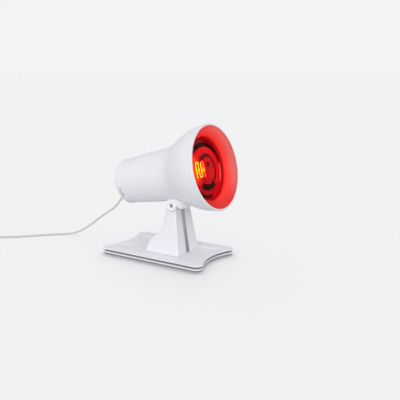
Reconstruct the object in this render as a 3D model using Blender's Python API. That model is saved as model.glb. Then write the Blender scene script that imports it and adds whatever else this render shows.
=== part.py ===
"""Infrared heat therapy lamp on a tilting head, as an assembly of separate pieces.

The lamp stands on the plane z = 0 and shines towards -Y. Its origin is under the
middle of the lamp's own box, without the free cord. The pieces of the base and the
post hang on the empty base_frame, those of the head on head_frame, whose origin is
the tilt axis, and the switch rocker on rocker_frame, whose origin is its own axis.
"""

import math

import bmesh
import bpy
import numpy as np
from mathutils import Vector

MM = 0.001

# Clearances and overruns
GAP = 0.3 * MM                   # between pieces that seat on each other
OVERRUN = 2.0 * MM               # how far a cutter reaches past what it cuts
WELD = 0.001 * MM                # points closer than this are one
SHARP_ANGLE = math.radians(32.0)
SOLVE_STEPS = 12                 # rounds to settle where corner and end curve meet
CURVE_STEPS = 12                 # fine steps between two points of a cord's route

# Roundness of turned pieces, in sides
HEAD_SIDES = 40
BULB_SIDES = 36
INNER_SIDES = 28
SMALL_SIDES = 12
ROUND_STEPS = 4                  # of a large fillet
EDGE_STEPS = 2                   # of a small one
TUBE_ROUNDNESS = 2               # rings of a cord between its quarters
FINE_ROUNDNESS = 1               # of a long or thin one
GAP_STEPS = 8                    # fine steps between two points, to find the least gap

# Base plan
BASE_HALF_WIDTH = 71.0 * MM
BASE_HALF_LENGTH = 117.0 * MM    # to the tips of the corners
BASE_END_SAG = 13.0 * MM         # how far both short ends curve in
BASE_CORNER_RADIUS = 13.0 * MM
CORNER_STEPS = 5
END_STEPS = 8

# Base in section, from the floor up
FOOT_HEIGHT = 1.2 * MM           # stands out below the bottom plate
FOOT_RECESS = 0.8 * MM
FOOT_RADIUS = 8.0 * MM
FOOT_INSET_X = 19.0 * MM          # from the base's long side to a foot's middle
FOOT_INSET_Y = 20.0 * MM
FOOT_X = BASE_HALF_WIDTH - FOOT_INSET_X
FOOT_Y = BASE_HALF_LENGTH - FOOT_INSET_Y
PLATE_THICKNESS = 3.0 * MM
PLATE_INSET = 0.4 * MM
PLATE_EDGE = 0.5 * MM            # its bevel
BALLAST_THICKNESS = 2.4 * MM
BALLAST_SIDE_CLEARANCE = 3.0 * MM    # from the screw bosses
BALLAST_END_CLEARANCE = 33.0 * MM    # from the tips of the base
COVER_WALL = 2.0 * MM
COVER_WALL_INSET = 3.6 * MM      # the dark groove round the base
COVER_FLOOR = 1.8 * MM           # under the recessed panel
LIP_THICKNESS = 2.1 * MM
LIP_EDGE = 0.5 * MM
PANEL_DEPTH = 1.5 * MM
PANEL_SLOPE = 0.9 * MM
PANEL_BORDER = 27.0 * MM         # from the base's long side
PANEL_END_BORDER = 24.0 * MM     # from the tips of the base
PANEL_HALF_WIDTH = BASE_HALF_WIDTH - PANEL_BORDER
PANEL_HALF_LENGTH = BASE_HALF_LENGTH - PANEL_END_BORDER
PANEL_SAG = 9.0 * MM
PANEL_CORNER_RADIUS = 9.0 * MM
BASE_SCREW_INSET = 15.0 * MM     # from the base's long side
BASE_SCREW_END_INSET = 43.0 * MM     # from the tips of the base
BASE_SCREW_X = BASE_HALF_WIDTH - BASE_SCREW_INSET
BASE_SCREW_Y = BASE_HALF_LENGTH - BASE_SCREW_END_INSET
BASE_BOSS_RADIUS = 4.0 * MM
BALLAST_HALF_WIDTH = BASE_SCREW_X - BASE_BOSS_RADIUS - BALLAST_SIDE_CLEARANCE
BALLAST_HALF_LENGTH = BASE_HALF_LENGTH - BALLAST_END_CLEARANCE

# Screws: head radius, head height, shank radius
PLATE_SCREW = (2.9 * MM, 1.2 * MM, 1.4 * MM)
BRACKET_SCREW = (3.6 * MM, 2.2 * MM, 2.0 * MM)
POST_SCREW = (2.7 * MM, 1.8 * MM, 1.3 * MM)
SADDLE_SCREW = (2.5 * MM, 1.6 * MM, 1.4 * MM)
HOLDER_SCREW = (2.6 * MM, 1.6 * MM, 1.4 * MM)
CAP_SCREW = (3.2 * MM, 1.8 * MM, 1.5 * MM)
SCREW_CROWN_SHARE = 0.62         # the part of a head's height below its crown
SCREW_TOP_SHARE = 0.72           # the part of a head's radius that is flat on top

# Tilt axis, from the middle of the base
PIVOT_Y = -26.8 * MM
PIVOT_Z = 106.5 * MM
REST_TILT = math.radians(13.0)   # the head looks up by this at rest
TILT_DOWN = math.radians(30.0)   # from rest, the front goes down
TILT_UP = math.radians(20.0)

# Post
POST_TOP_Z = 99.5 * MM
POST_TOP_HALF_WIDTH = 25.8 * MM
POST_FOOT_HALF_WIDTH = 38.0 * MM
POST_TOP_FRONT = -37.0 * MM
POST_FOOT_FRONT = -50.0 * MM
POST_TOP_REAR = -13.0 * MM
POST_FOOT_REAR = 32.0 * MM
POST_WALL = 2.4 * MM
POST_ROOF = 4.5 * MM             # under the seat's lowest line
POST_FRONT_RADIUS = 2.4 * MM
POST_REAR_RADIUS = 7.0 * MM
POST_SPLIT = 0.3 * MM            # parting gap between the half shells
# share of the post's height, share of the way from the top's rear to the foot's
POST_REAR_SHARES = ((0.0, 1.0), (0.14, 0.90), (0.26, 0.77), (0.36, 0.58), (0.45, 0.345),
                    (0.56, 0.18), (0.70, 0.093), (0.84, 0.04), (1.0, 0.0))
CHANNEL_HALF_WIDTH = 6.8 * MM
CHANNEL_DEPTH = 4.5 * MM
CHANNEL_WALL = 2.2 * MM
STRIP_THICKNESS = 1.6 * MM
POST_BOSS_RADIUS = 3.6 * MM
POST_SCREW_INSET = 7.5 * MM      # from the rear of the post to the screw
POST_SCREW_SHARES = (0.56, 0.2)  # of the post's height
POST_SCREW_SEAT_X = 20.0 * MM
POST_SCREW_LENGTH = 32.0 * MM

# Hinge
SADDLE_OVERHANG = 0.2 * MM       # outside the post's top, on each side
SADDLE_HALF_WIDTH = POST_TOP_HALF_WIDTH + SADDLE_OVERHANG
SADDLE_HALF_DEPTH = 9.75 * MM
SADDLE_RADIUS = 11.0 * MM
SADDLE_TOP = 18.0 * MM           # above the axis, before the head's shape is cut out
SADDLE_EDGE = 0.8 * MM
SADDLE_EDGE_ANGLE = math.radians(50.0)   # edges sharper than this are rounded
CHIN_BULGE = 15.0 * MM           # how far the saddle's front bows out, in plan
CHIN_DROP = 6.2 * MM             # below the axis
CHIN_CLEARANCE = 1.0 * MM        # from the post, as the head tips down
CHIN_ROOT = 3.0 * MM             # how deep it sits in the saddle's block
CHIN_STEPS = 10
CHIN_RELIEF_STEP = 4.0 * MM      # between the levels of the post that shape its underside
CHIN_RELIEF_LEVELS = 4
SEAT_CLEARANCE = 1.0 * MM
CHEEK_THICKNESS = 6.6 * MM
BARREL_RADIUS = 6.0 * MM
BARREL_CLEARANCE = 0.6 * MM
NECK_HALF_THICKNESS = 3.0 * MM
WASHER_THICKNESS = 0.6 * MM
WASHER_RADIUS = 5.4 * MM
BOLT_RADIUS = 2.5 * MM
BOLT_HEAD_RADIUS = 3.8 * MM
BOLT_HEAD_HEIGHT = 2.4 * MM
BOLT_SOCKET_RADIUS = 1.7 * MM
BOLT_SOCKET_DEPTH = 1.4 * MM
BOLT_SINK = 0.8 * MM             # the head lies this far below the cheek
NUT_RADIUS = 4.2 * MM            # across corners
NUT_SIDES = 6
NUT_THICKNESS = 2.6 * MM
BRACKET_FOOT_THICKNESS = 3.0 * MM
BRACKET_FOOT_HALF_DEPTH = 13.0 * MM
BRACKET_SCREW_OFFSET = 8.6 * MM
SADDLE_SCREW_INSET = 3.3 * MM    # in from the saddle's sides
SADDLE_SCREW_X = SADDLE_HALF_WIDTH - SADDLE_SCREW_INSET
SADDLE_SCREW_LENGTH = 10.5 * MM

# Head, along its axis from the rim plane back, and out from the axis
RIM_AHEAD = 101.6 * MM           # rim plane in front of the tilt axis
AXIS_ABOVE = 59.2 * MM           # head axis above the tilt axis
HOUSING_WALL = 2.2 * MM
HOUSING_PROFILE = ((2.0 * MM, 81.6 * MM), (10.0 * MM, 81.4 * MM), (20.0 * MM, 80.6 * MM),
                   (30.0 * MM, 78.7 * MM), (40.0 * MM, 75.4 * MM), (50.0 * MM, 71.3 * MM),
                   (60.0 * MM, 66.3 * MM), (69.0 * MM, 61.4 * MM), (77.0 * MM, 57.4 * MM),
                   (85.0 * MM, 54.7 * MM), (95.0 * MM, 53.1 * MM), (113.0 * MM, 52.0 * MM),
                   (154.0 * MM, 49.5 * MM), (185.0 * MM, 46.7 * MM), (194.0 * MM, 45.8 * MM))
LEDGE_WIDTH = 6.0 * MM
LEDGE_HEIGHT = 2.2 * MM
BEZEL_OVERHANG = 1.4 * MM         # outside the housing's front edge
BEZEL_LAND = 3.0 * MM            # inside it
BEZEL_RADIUS = HOUSING_PROFILE[0][1] + BEZEL_OVERHANG
BEZEL_INNER = HOUSING_PROFILE[0][1] - BEZEL_LAND
BEZEL_DEPTH = 4.0 * MM
BEZEL_ROLL = 1.2 * MM
RING_LIP = 2.4 * MM
RING_WALL = 1.0 * MM
RING_FLANGE = 0.6 * MM
SHIELD_START = 80.0 * MM
SHIELD_SPACE = 5.0 * MM          # air between the shield and the housing
SHIELD_WALL = 0.8 * MM
SHIELD_FLANGE = 1.2 * MM

# Rear cap
CAP_LENGTH = 21.0 * MM           # from the housing's rear edge
CAP_END = HOUSING_PROFILE[-1][0] + CAP_LENGTH
CAP_WALL = 2.2 * MM
CAP_ROUNDING = 6.0 * MM
CAP_SPIGOT = 6.0 * MM
CAP_SCREW_COUNT = 3
CAP_SCREW_RING = 32.0 * MM
CAP_SCREW_THROUGH = 2.5 * MM     # past the holder bracket
VENT_COUNT = 4                   # round the lower half
VENT_ROWS = (12.6 * MM, 8.4 * MM)    # before the cap's end
VENT_WIDTH = 1.6 * MM
VENT_HALF_LENGTH = 10.0 * MM

# Bulb, a reflector bulb of 121 mm across with a 27 mm screw cap
LENS_FRONT = 20.6 * MM
LENS_CROWN = 5.6 * MM
LENS_THICKNESS = 2.2 * MM
BULB_RADIUS = 60.3 * MM
BOWL_RIM_DEPTH = 5.0 * MM
BOWL_RIM_INSET = 2.0 * MM
BOWL_VERTEX = 106.0 * MM         # where the bowl's curve would close
BOWL_WALL = 1.8 * MM
BOWL_STEPS = 8
NECK_RADIUS = 15.0 * MM
NECK_END = 131.0 * MM
BULB_CAP_RADIUS = 13.2 * MM
BULB_CAP_LENGTH = 25.5 * MM
BULB_CAP_END = NECK_END + BULB_CAP_LENGTH
BULB_CAP_TAPER = 5.0 * MM
BULB_TIP_RADIUS = 4.5 * MM
STEM_RADIUS = 3.2 * MM
STEM_FLARE = 4.0 * MM
STEM_TOP = 62.0 * MM
WIRE_RADIUS = 0.6 * MM
WIRE_SPREAD = 13.0 * MM
FILAMENT_AT = 36.0 * MM
FILAMENT_RADIUS = 0.8 * MM
FILAMENT_RISE = 30.0 * MM
FILAMENT_STROKES = 4             # up and down, joined by round turns

# Lamp holder and its bracket
HOLDER_RADIUS = 20.0 * MM
HOLDER_BORE_CLEARANCE = 0.4 * MM
HOLDER_EDGE = 1.8 * MM
HOLDER_SCREW_X = 12.0 * MM
HOLDER_SCREW_LENGTH = 9.0 * MM
HOLDER_FLOOR = 11.2 * MM         # ceramic behind the bulb's cap
BRACKET_PLATE = 1.5 * MM
BRACKET_WINDOW_RADIUS = 9.0 * MM
BRACKET_WINDOW_RING = 32.0 * MM

# The housing's inner ledge, at the height of the holder's rear face
LEDGE_END = BULB_CAP_END + GAP + HOLDER_FLOOR
LEDGE_START = LEDGE_END - LEDGE_WIDTH

# The cone between the rim and the bulb
RING_STEP = 0.2 * MM             # its front edge inside the bezel's
RING_CLEARANCE = 1.5 * MM        # round the bulb
RING_STANDOFF = 1.8 * MM         # its rear edge in front of the lens
RING_FRONT_RADIUS = BEZEL_INNER - RING_STEP
RING_REAR = LENS_FRONT - RING_STANDOFF
RING_REAR_RADIUS = BULB_RADIUS + RING_CLEARANCE

# Rocker switch on the rear cap
SWITCH_ABOVE = 10.0 * MM         # above the head's axis
ROCKER_HALF_WIDTH = 7.4 * MM
ROCKER_HALF_LENGTH = 5.2 * MM
ROCKER_RISE = 2.6 * MM
ROCKER_CREST = 0.7 * MM
ROCKER_DEPTH = 3.0 * MM
ROCKER_FOOT = 3.4 * MM
ROCKER_CLEARANCE = 0.5 * MM
ROCKER_AXIS_DEPTH = 0.4 * MM     # below the cap's face
ROCKER_HALF_THROW = math.radians(7.0)
SWITCH_WALL = 1.3 * MM
SWITCH_FLANGE = 2.0 * MM
SWITCH_FLANGE_THICKNESS = 1.4 * MM
SWITCH_DEPTH = 12.0 * MM
SWITCH_POCKET = 6.0 * MM

# Mains lead
CORD_RADIUS = 2.0 * MM
CORD_SPACING = 10.0 * MM
CORD_BELOW = 24.0 * MM           # exit below the head's axis
RELIEF_RADIUS = 4.4 * MM
RELIEF_TIP_RADIUS = 2.8 * MM
RELIEF_COLLAR_RADIUS = 5.8 * MM
RELIEF_COLLAR = 1.6 * MM
RELIEF_LENGTH = 21.0 * MM
RELIEF_BEND = math.radians(24.0)
RELIEF_STEPS = 7
RELIEF_SIDES = 12
COIL_CENTRE = (-152.0 * MM, 416.0 * MM)
COIL_MEAN_RADIUS = 22.0 * MM
COIL_PITCH = 4.62 * MM
COIL_LAYERS = 4
COIL_LAYER_TURNS = 2.5
COIL_LOOP_POINTS = 24
COIL_START = math.radians(15.0)  # where on the coil the lead arrives and leaves
PLUG_HALF_WIDTH = 17.5 * MM
PLUG_HALF_HEIGHT = 6.8 * MM
PLUG_WAIST = 6.5 * MM
PLUG_WAIST_HEIGHT = 5.0 * MM
PLUG_LENGTH = 34.0 * MM
PLUG_TAPER_SHARE = 0.45          # of its length, narrowed towards the lead
PLUG_EDGE_SHARE = 0.35           # of its half height, cut off each long edge
PIN_RADIUS = 2.0 * MM
PIN_LENGTH = 19.0 * MM
PIN_TIP = 1.0 * MM
PIN_HALF_SPACING = 9.3 * MM
PLUG_AT = (-124.5 * MM, 462.0 * MM, 6.8 * MM)
PLUG_HEADING = math.radians(75.0)

# The lead's free stretch, from the strain relief's tip to the coil, in metres
LEAD_ROUTE = ((0.0, 0.1165, 0.1008), (0.0, 0.1222, 0.0945), (0.0, 0.1277, 0.0878),
              (0.0, 0.1342, 0.0812), (0.0, 0.1425, 0.0745), (0.0, 0.1525, 0.0678),
              (0.0, 0.1635, 0.0608), (0.0, 0.1745, 0.0534), (0.0, 0.1855, 0.0457),
              (0.0, 0.1970, 0.0373), (-0.0004, 0.2090, 0.0288), (-0.0015, 0.2220, 0.0202),
              (-0.0035, 0.2360, 0.0122), (-0.0068, 0.2500, 0.0062), (-0.0120, 0.2635, 0.0029),
              (-0.0195, 0.2760, 0.0021), (-0.0300, 0.2890, 0.0021), (-0.0430, 0.3020, 0.0021),
              (-0.0570, 0.3150, 0.0021), (-0.0710, 0.3290, 0.0021), (-0.0850, 0.3440, 0.0021),
              (-0.0985, 0.3600, 0.0021), (-0.1095, 0.3770, 0.0021), (-0.1180, 0.3960, 0.0021))
# and from the coil's top to the plug
TAIL_ROUTE = ((-0.1278, 0.4350, 0.0142), (-0.1283, 0.4440, 0.0105), (-0.1272, 0.4520, 0.0079))


def remove_everything():
    for obj in list(bpy.data.objects):
        bpy.data.objects.remove(obj, do_unlink=True)


def make_material(name, color, roughness, metallic=0.0, transmission=0.0):
    material = bpy.data.materials.new(name)
    material.use_nodes = True
    shader = material.node_tree.nodes["Principled BSDF"]
    shader.inputs["Base Color"].default_value = (*color, 1.0)
    shader.inputs["Roughness"].default_value = roughness
    shader.inputs["Metallic"].default_value = metallic
    shader.inputs["Transmission Weight"].default_value = transmission
    material.diffuse_color = (*color, 1.0)
    return material


def add_empty(name, location, tilt=0.0, parent=None):
    empty = bpy.data.objects.new(name, None)
    empty.location = location
    empty.rotation_euler.x = tilt
    empty.parent = parent
    bpy.context.collection.objects.link(empty)
    return empty


def add_solid(name, points, faces, material, parent=None):
    """One closed mesh from points and faces, welded, facing out and shaded smooth."""
    mesh = bpy.data.meshes.new(name)
    mesh.from_pydata([tuple(p) for p in points], [], faces)
    work = bmesh.new()
    work.from_mesh(mesh)
    bmesh.ops.remove_doubles(work, verts=work.verts, dist=WELD)
    bmesh.ops.recalc_face_normals(work, faces=work.faces)
    work.to_mesh(mesh)
    work.free()
    mesh.shade_smooth()
    mesh.set_sharp_from_angle(angle=SHARP_ANGLE)
    obj = bpy.data.objects.new(name, mesh)
    bpy.context.collection.objects.link(obj)
    obj.parent = parent
    if material is None:
        obj.hide_render = True
        obj.display_type = "WIRE"
    else:
        mesh.materials.append(material)
    return obj


def loft(name, rings, material, parent=None, ring_solid=False):
    """Skin over rings of equal point counts: capped at both ends, or closed on itself."""
    size = len(rings[0])
    points = [p for ring in rings for p in ring]
    last = len(rings) if ring_solid else len(rings) - 1
    faces = []
    for i in range(last):
        here = i * size
        there = (i + 1) % len(rings) * size
        for j in range(size):
            k = (j + 1) % size
            faces.append((here + j, here + k, there + k, there + j))
    if not ring_solid:
        faces.append(tuple(range(size)))
        faces.append(tuple(range(last * size, last * size + size)))
    return add_solid(name, points, faces, material, parent)


def frame_along(direction):
    """Two unit vectors square to a direction."""
    along = Vector(direction).normalized()
    side = Vector((1, 0, 0)) if abs(along.x) < abs(along.y) + abs(along.z) else Vector((0, 1, 0))
    side = (side - along * side.dot(along)).normalized()
    return along, side, along.cross(side)


def circle(centre, direction, radius, sides):
    along, side, up = frame_along(direction)
    ring = []
    for j in range(sides):
        angle = math.tau * j / sides
        ring.append(Vector(centre) + (side * math.cos(angle) + up * math.sin(angle)) * radius)
    return ring


def turned(name, origin, direction, profile, sides, material, parent=None, ring_solid=False):
    """A profile of (distance along the axis, radius) turned round the axis.

    A profile that ends on the axis at the height of its neighbour gets one flat face there.
    """
    along = Vector(direction).normalized()
    profile = list(profile)
    if profile[0][1] == 0 and profile[0][0] == profile[1][0]:
        profile = profile[1:]
    if profile[-1][1] == 0 and profile[-1][0] == profile[-2][0]:
        profile = profile[:-1]
    rings = [circle(Vector(origin) + along * s, along, r, sides) for s, r in profile]
    return loft(name, rings, material, parent, ring_solid)


def rod(name, start, end, radius, sides, material=None, parent=None):
    length = (Vector(end) - Vector(start)).length
    profile = ((0.0, radius), (length, radius))
    return turned(name, start, Vector(end) - Vector(start), profile, sides, material, parent)


def block(name, low, high, material=None, parent=None):
    rings = []
    for z in (low[2], high[2]):
        rings.append([Vector((low[0], low[1], z)), Vector((high[0], low[1], z)),
                      Vector((high[0], high[1], z)), Vector((low[0], high[1], z))])
    return loft(name, rings, material, parent)


def side_prism(name, outline, half_width, material=None, parent=None):
    """An outline of (y, z) pulled out along X to both sides."""
    rings = [[Vector((x, y, z)) for y, z in outline] for x in (-half_width, half_width)]
    return loft(name, rings, material, parent)


def combine(obj, other, operation="DIFFERENCE"):
    modifier = obj.modifiers.new(other.name, "BOOLEAN")
    modifier.operation = operation
    modifier.solver = "EXACT"
    modifier.object = other


def add_screw(name, seat, direction, sizes, length, material, parent):
    """A crowned head whose underside is at the seat, and a shank along the direction."""
    head_radius, head_height, shank_radius = sizes
    profile = ((-head_height, 0.0), (-head_height, head_radius * SCREW_TOP_SHARE),
               (-head_height * SCREW_CROWN_SHARE, head_radius), (0.0, head_radius),
               (0.0, shank_radius), (length, shank_radius), (length, 0.0))
    return turned(name, seat, direction, profile, SMALL_SIDES, material, parent)


def arc(centre, radius, start, end, steps):
    points = []
    for i in range(steps + 1):
        angle = start + (end - start) * i / steps
        points.append((centre[0] + radius * math.cos(angle), centre[1] + radius * math.sin(angle)))
    return points


def plan_outline(half_width, half_length, sag, corner_radius):
    """Straight long sides, rounded corners and short ends that curve in by the sag."""
    slope = 0.0
    for _ in range(SOLVE_STEPS):
        end_half = half_width - corner_radius * (1 + math.sin(slope))
        slope = math.atan(2 * sag / end_half)
    centre = (half_width - corner_radius, half_length - corner_radius)
    corner = arc(centre, corner_radius, 0.0, math.pi / 2 + slope, CORNER_STEPS)
    end_x, end_y = corner[-1]
    end = []
    for i in range(1, END_STEPS):
        x = end_x * (1 - 2 * i / END_STEPS)
        end.append((x, end_y - sag * (1 - (x / end_x) ** 2)))
    half = corner + end + [(-x, y) for x, y in reversed(corner)]
    return half + [(-x, -y) for x, y in half]


def smooth_path(route, spacing):
    """Points a spacing apart on the smooth curve through a route. Its end steps stay straight."""
    route = np.array(route)
    steps = np.linalg.norm(np.diff(route, axis=0), axis=1)
    knots = np.concatenate(([0.0], np.cumsum(np.sqrt(steps))))
    dense = []
    for i in range(1, len(route) - 2):
        p, t = route[i - 1:i + 3], knots[i - 1:i + 3]
        for u in np.linspace(t[1], t[2], CURVE_STEPS, endpoint=False):
            a = [p[j] + (p[j + 1] - p[j]) * (u - t[j]) / (t[j + 1] - t[j]) for j in range(3)]
            b = [a[j] + (a[j + 1] - a[j]) * (u - t[j]) / (t[j + 2] - t[j]) for j in range(2)]
            dense.append(b[0] + (b[1] - b[0]) * (u - t[1]) / (t[2] - t[1]))
    dense = np.array(dense + [route[-2]])
    along = np.concatenate(([0.0], np.cumsum(np.linalg.norm(np.diff(dense, axis=0), axis=1))))
    count = max(2, round(along[-1] / spacing) + 1)
    wanted = np.linspace(0.0, along[-1], count)
    inner = np.stack([np.interp(wanted, along, dense[:, k]) for k in range(3)], axis=1)
    return np.vstack((route[:1], inner, route[-1:]))


def path_length(path):
    return float(np.linalg.norm(np.diff(np.array(path), axis=0), axis=1).sum())


def add_tube(name, path, radius, roundness, material, parent):
    """A round tube along a path, as a curve with filled ends."""
    curve = bpy.data.curves.new(name, "CURVE")
    curve.dimensions = "3D"
    curve.bevel_depth = radius
    curve.bevel_resolution = roundness
    curve.use_fill_caps = True
    spline = curve.splines.new("POLY")
    spline.points.add(len(path) - 1)
    for point, place in zip(spline.points, path):
        point.co = (*place, 1.0)
    curve.materials.append(material)
    obj = bpy.data.objects.new(name, curve)
    bpy.context.collection.objects.link(obj)
    obj.parent = parent
    return obj


# Heights of the base, worked out from the sections above
PLATE_TOP = FOOT_HEIGHT + PLATE_THICKNESS
BALLAST_BOTTOM = PLATE_TOP + GAP
COVER_UNDERSIDE = BALLAST_BOTTOM + BALLAST_THICKNESS + GAP
PANEL_Z = COVER_UNDERSIDE + COVER_FLOOR
COVER_TOP = PANEL_Z + PANEL_DEPTH
POST_FOOT_Z = PANEL_Z + GAP
SEAT_RADIUS = SADDLE_RADIUS + SEAT_CLEARANCE
CHEEK_INNER = SADDLE_HALF_WIDTH - CHEEK_THICKNESS
BARREL_HALF_WIDTH = CHEEK_INNER - WASHER_THICKNESS - 2 * GAP
PIVOT = (0.0, PIVOT_Y, PIVOT_Z)


def base_ring(inset, z):
    outline = plan_outline(BASE_HALF_WIDTH - inset, BASE_HALF_LENGTH - inset, BASE_END_SAG,
                           BASE_CORNER_RADIUS - inset)
    return [Vector((x, y, z)) for x, y in outline]


def panel_ring(inset, z):
    outline = plan_outline(PANEL_HALF_WIDTH - inset, PANEL_HALF_LENGTH - inset, PANEL_SAG,
                           PANEL_CORNER_RADIUS - inset)
    return [Vector((x, y, z)) for x, y in outline]


def four_corners(x, y):
    return [(x * sx, y * sy) for sx in (-1, 1) for sy in (-1, 1)]


def bracket_screw_places():
    return [(0.0, PIVOT_Y + BRACKET_SCREW_OFFSET * side) for side in (-1, 1)]


def build_base(parent, paint):
    wall_inner = COVER_WALL_INSET + COVER_WALL
    lip_bottom = COVER_TOP - LIP_THICKNESS
    rings = [base_ring(wall_inner, COVER_UNDERSIDE), base_ring(wall_inner, BALLAST_BOTTOM),
             base_ring(COVER_WALL_INSET, BALLAST_BOTTOM), base_ring(COVER_WALL_INSET, lip_bottom),
             base_ring(LIP_EDGE, lip_bottom), base_ring(0.0, lip_bottom + LIP_EDGE),
             base_ring(0.0, COVER_TOP - LIP_EDGE), base_ring(LIP_EDGE, COVER_TOP),
             panel_ring(0.0, COVER_TOP), panel_ring(PANEL_SLOPE, PANEL_Z)]
    cover = loft("base_cover", rings, paint["white"], parent)
    rings = [base_ring(PLATE_INSET + PLATE_EDGE, FOOT_HEIGHT),
             base_ring(PLATE_INSET, FOOT_HEIGHT + PLATE_EDGE),
             base_ring(PLATE_INSET, PLATE_TOP - PLATE_EDGE),
             base_ring(PLATE_INSET + PLATE_EDGE, PLATE_TOP)]
    plate = loft("base_bottom_plate", rings, paint["white"], parent)
    ballast_top = BALLAST_BOTTOM + BALLAST_THICKNESS
    ballast = block("ballast_plate", (-BALLAST_HALF_WIDTH, -BALLAST_HALF_LENGTH, BALLAST_BOTTOM),
                    (BALLAST_HALF_WIDTH, BALLAST_HALF_LENGTH, ballast_top), paint["steel"], parent)

    head_radius, head_height, shank_radius = PLATE_SCREW
    seat_z = FOOT_HEIGHT + head_height + GAP
    screw_length = COVER_UNDERSIDE - seat_z
    for i, (x, y) in enumerate(four_corners(BASE_SCREW_X, BASE_SCREW_Y), start=1):
        add_screw(f"base_screw_{i}", (x, y, seat_z), (0, 0, 1), PLATE_SCREW, screw_length,
                  paint["steel"], parent)
        boss = rod(f"boss_base_{i}", (x, y, BALLAST_BOTTOM), (x, y, COVER_UNDERSIDE + GAP),
                   BASE_BOSS_RADIUS, SMALL_SIDES, parent=parent)
        combine(cover, boss, "UNION")
        hole = rod(f"cut_base_{i}", (x, y, -OVERRUN), (x, y, seat_z + screw_length + GAP),
                   shank_radius + GAP, SMALL_SIDES, parent=parent)
        combine(cover, hole)
        combine(plate, hole)
        sink = rod(f"cut_sink_{i}", (x, y, -OVERRUN), (x, y, seat_z), head_radius + GAP,
                   SMALL_SIDES, parent=parent)
        combine(plate, sink)

    foot_top = FOOT_HEIGHT + FOOT_RECESS - GAP
    profile = ((0.0, 0.0), (0.0, FOOT_RADIUS - FOOT_RECESS), (FOOT_RECESS, FOOT_RADIUS),
               (foot_top, FOOT_RADIUS), (foot_top, 0.0))
    for i, (x, y) in enumerate(four_corners(FOOT_X, FOOT_Y), start=1):
        turned(f"rubber_foot_{i}", (x, y, 0.0), (0, 0, 1), profile, INNER_SIDES, paint["rubber"],
               parent)
        recess = rod(f"cut_foot_{i}", (x, y, -OVERRUN), (x, y, FOOT_HEIGHT + FOOT_RECESS),
                     FOOT_RADIUS + GAP, INNER_SIDES, parent=parent)
        combine(plate, recess)

    for i, (x, y) in enumerate(bracket_screw_places(), start=1):
        hole = rod(f"cut_floor_{i}", (x, y, PLATE_TOP), (x, y, COVER_TOP + OVERRUN),
                   BRACKET_SCREW[2] + GAP, SMALL_SIDES, parent=parent)
        combine(cover, hole)
        combine(ballast, hole)


def post_share(z):
    return (z - POST_FOOT_Z) / (POST_TOP_Z - POST_FOOT_Z)


def post_front(z):
    return POST_FOOT_FRONT + (POST_TOP_FRONT - POST_FOOT_FRONT) * post_share(z)


def post_half_width(z):
    return POST_FOOT_HALF_WIDTH + (POST_TOP_HALF_WIDTH - POST_FOOT_HALF_WIDTH) * post_share(z)


def post_rear(z):
    heights, reaches = zip(*POST_REAR_SHARES)
    reach = float(np.interp(post_share(z), heights, reaches))
    return POST_TOP_REAR + (POST_FOOT_REAR - POST_TOP_REAR) * reach


def post_levels():
    return [POST_FOOT_Z + (POST_TOP_Z - POST_FOOT_Z) * share for share, _ in POST_REAR_SHARES]


def post_half_section(z, inset, middle):
    """Half of the post's plan at a height, from its front middle round to its rear middle."""
    width = post_half_width(z) - inset
    front = post_front(z) + inset
    rear = post_rear(z) - inset
    front_radius = max(POST_FRONT_RADIUS - inset, GAP)
    rear_radius = POST_REAR_RADIUS - inset
    front_corner = arc((width - front_radius, front + front_radius), front_radius,
                       -math.pi / 2, 0.0, EDGE_STEPS)
    rear_corner = arc((width - rear_radius, rear - rear_radius), rear_radius,
                      0.0, math.pi / 2, ROUND_STEPS)
    return [(middle, front)] + front_corner + rear_corner + [(middle, rear)]


def channel_prism(name, half_width, front_over, depth, low, high, material, parent):
    """A bar that follows the sloping front face, from in front of it to a depth."""
    rings = []
    for z in (low, high):
        near, far = post_front(z) - front_over, post_front(z) + depth
        rings.append([Vector((-half_width, near, z)), Vector((half_width, near, z)),
                      Vector((half_width, far, z)), Vector((-half_width, far, z))])
    return loft(name, rings, material, parent)


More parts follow.
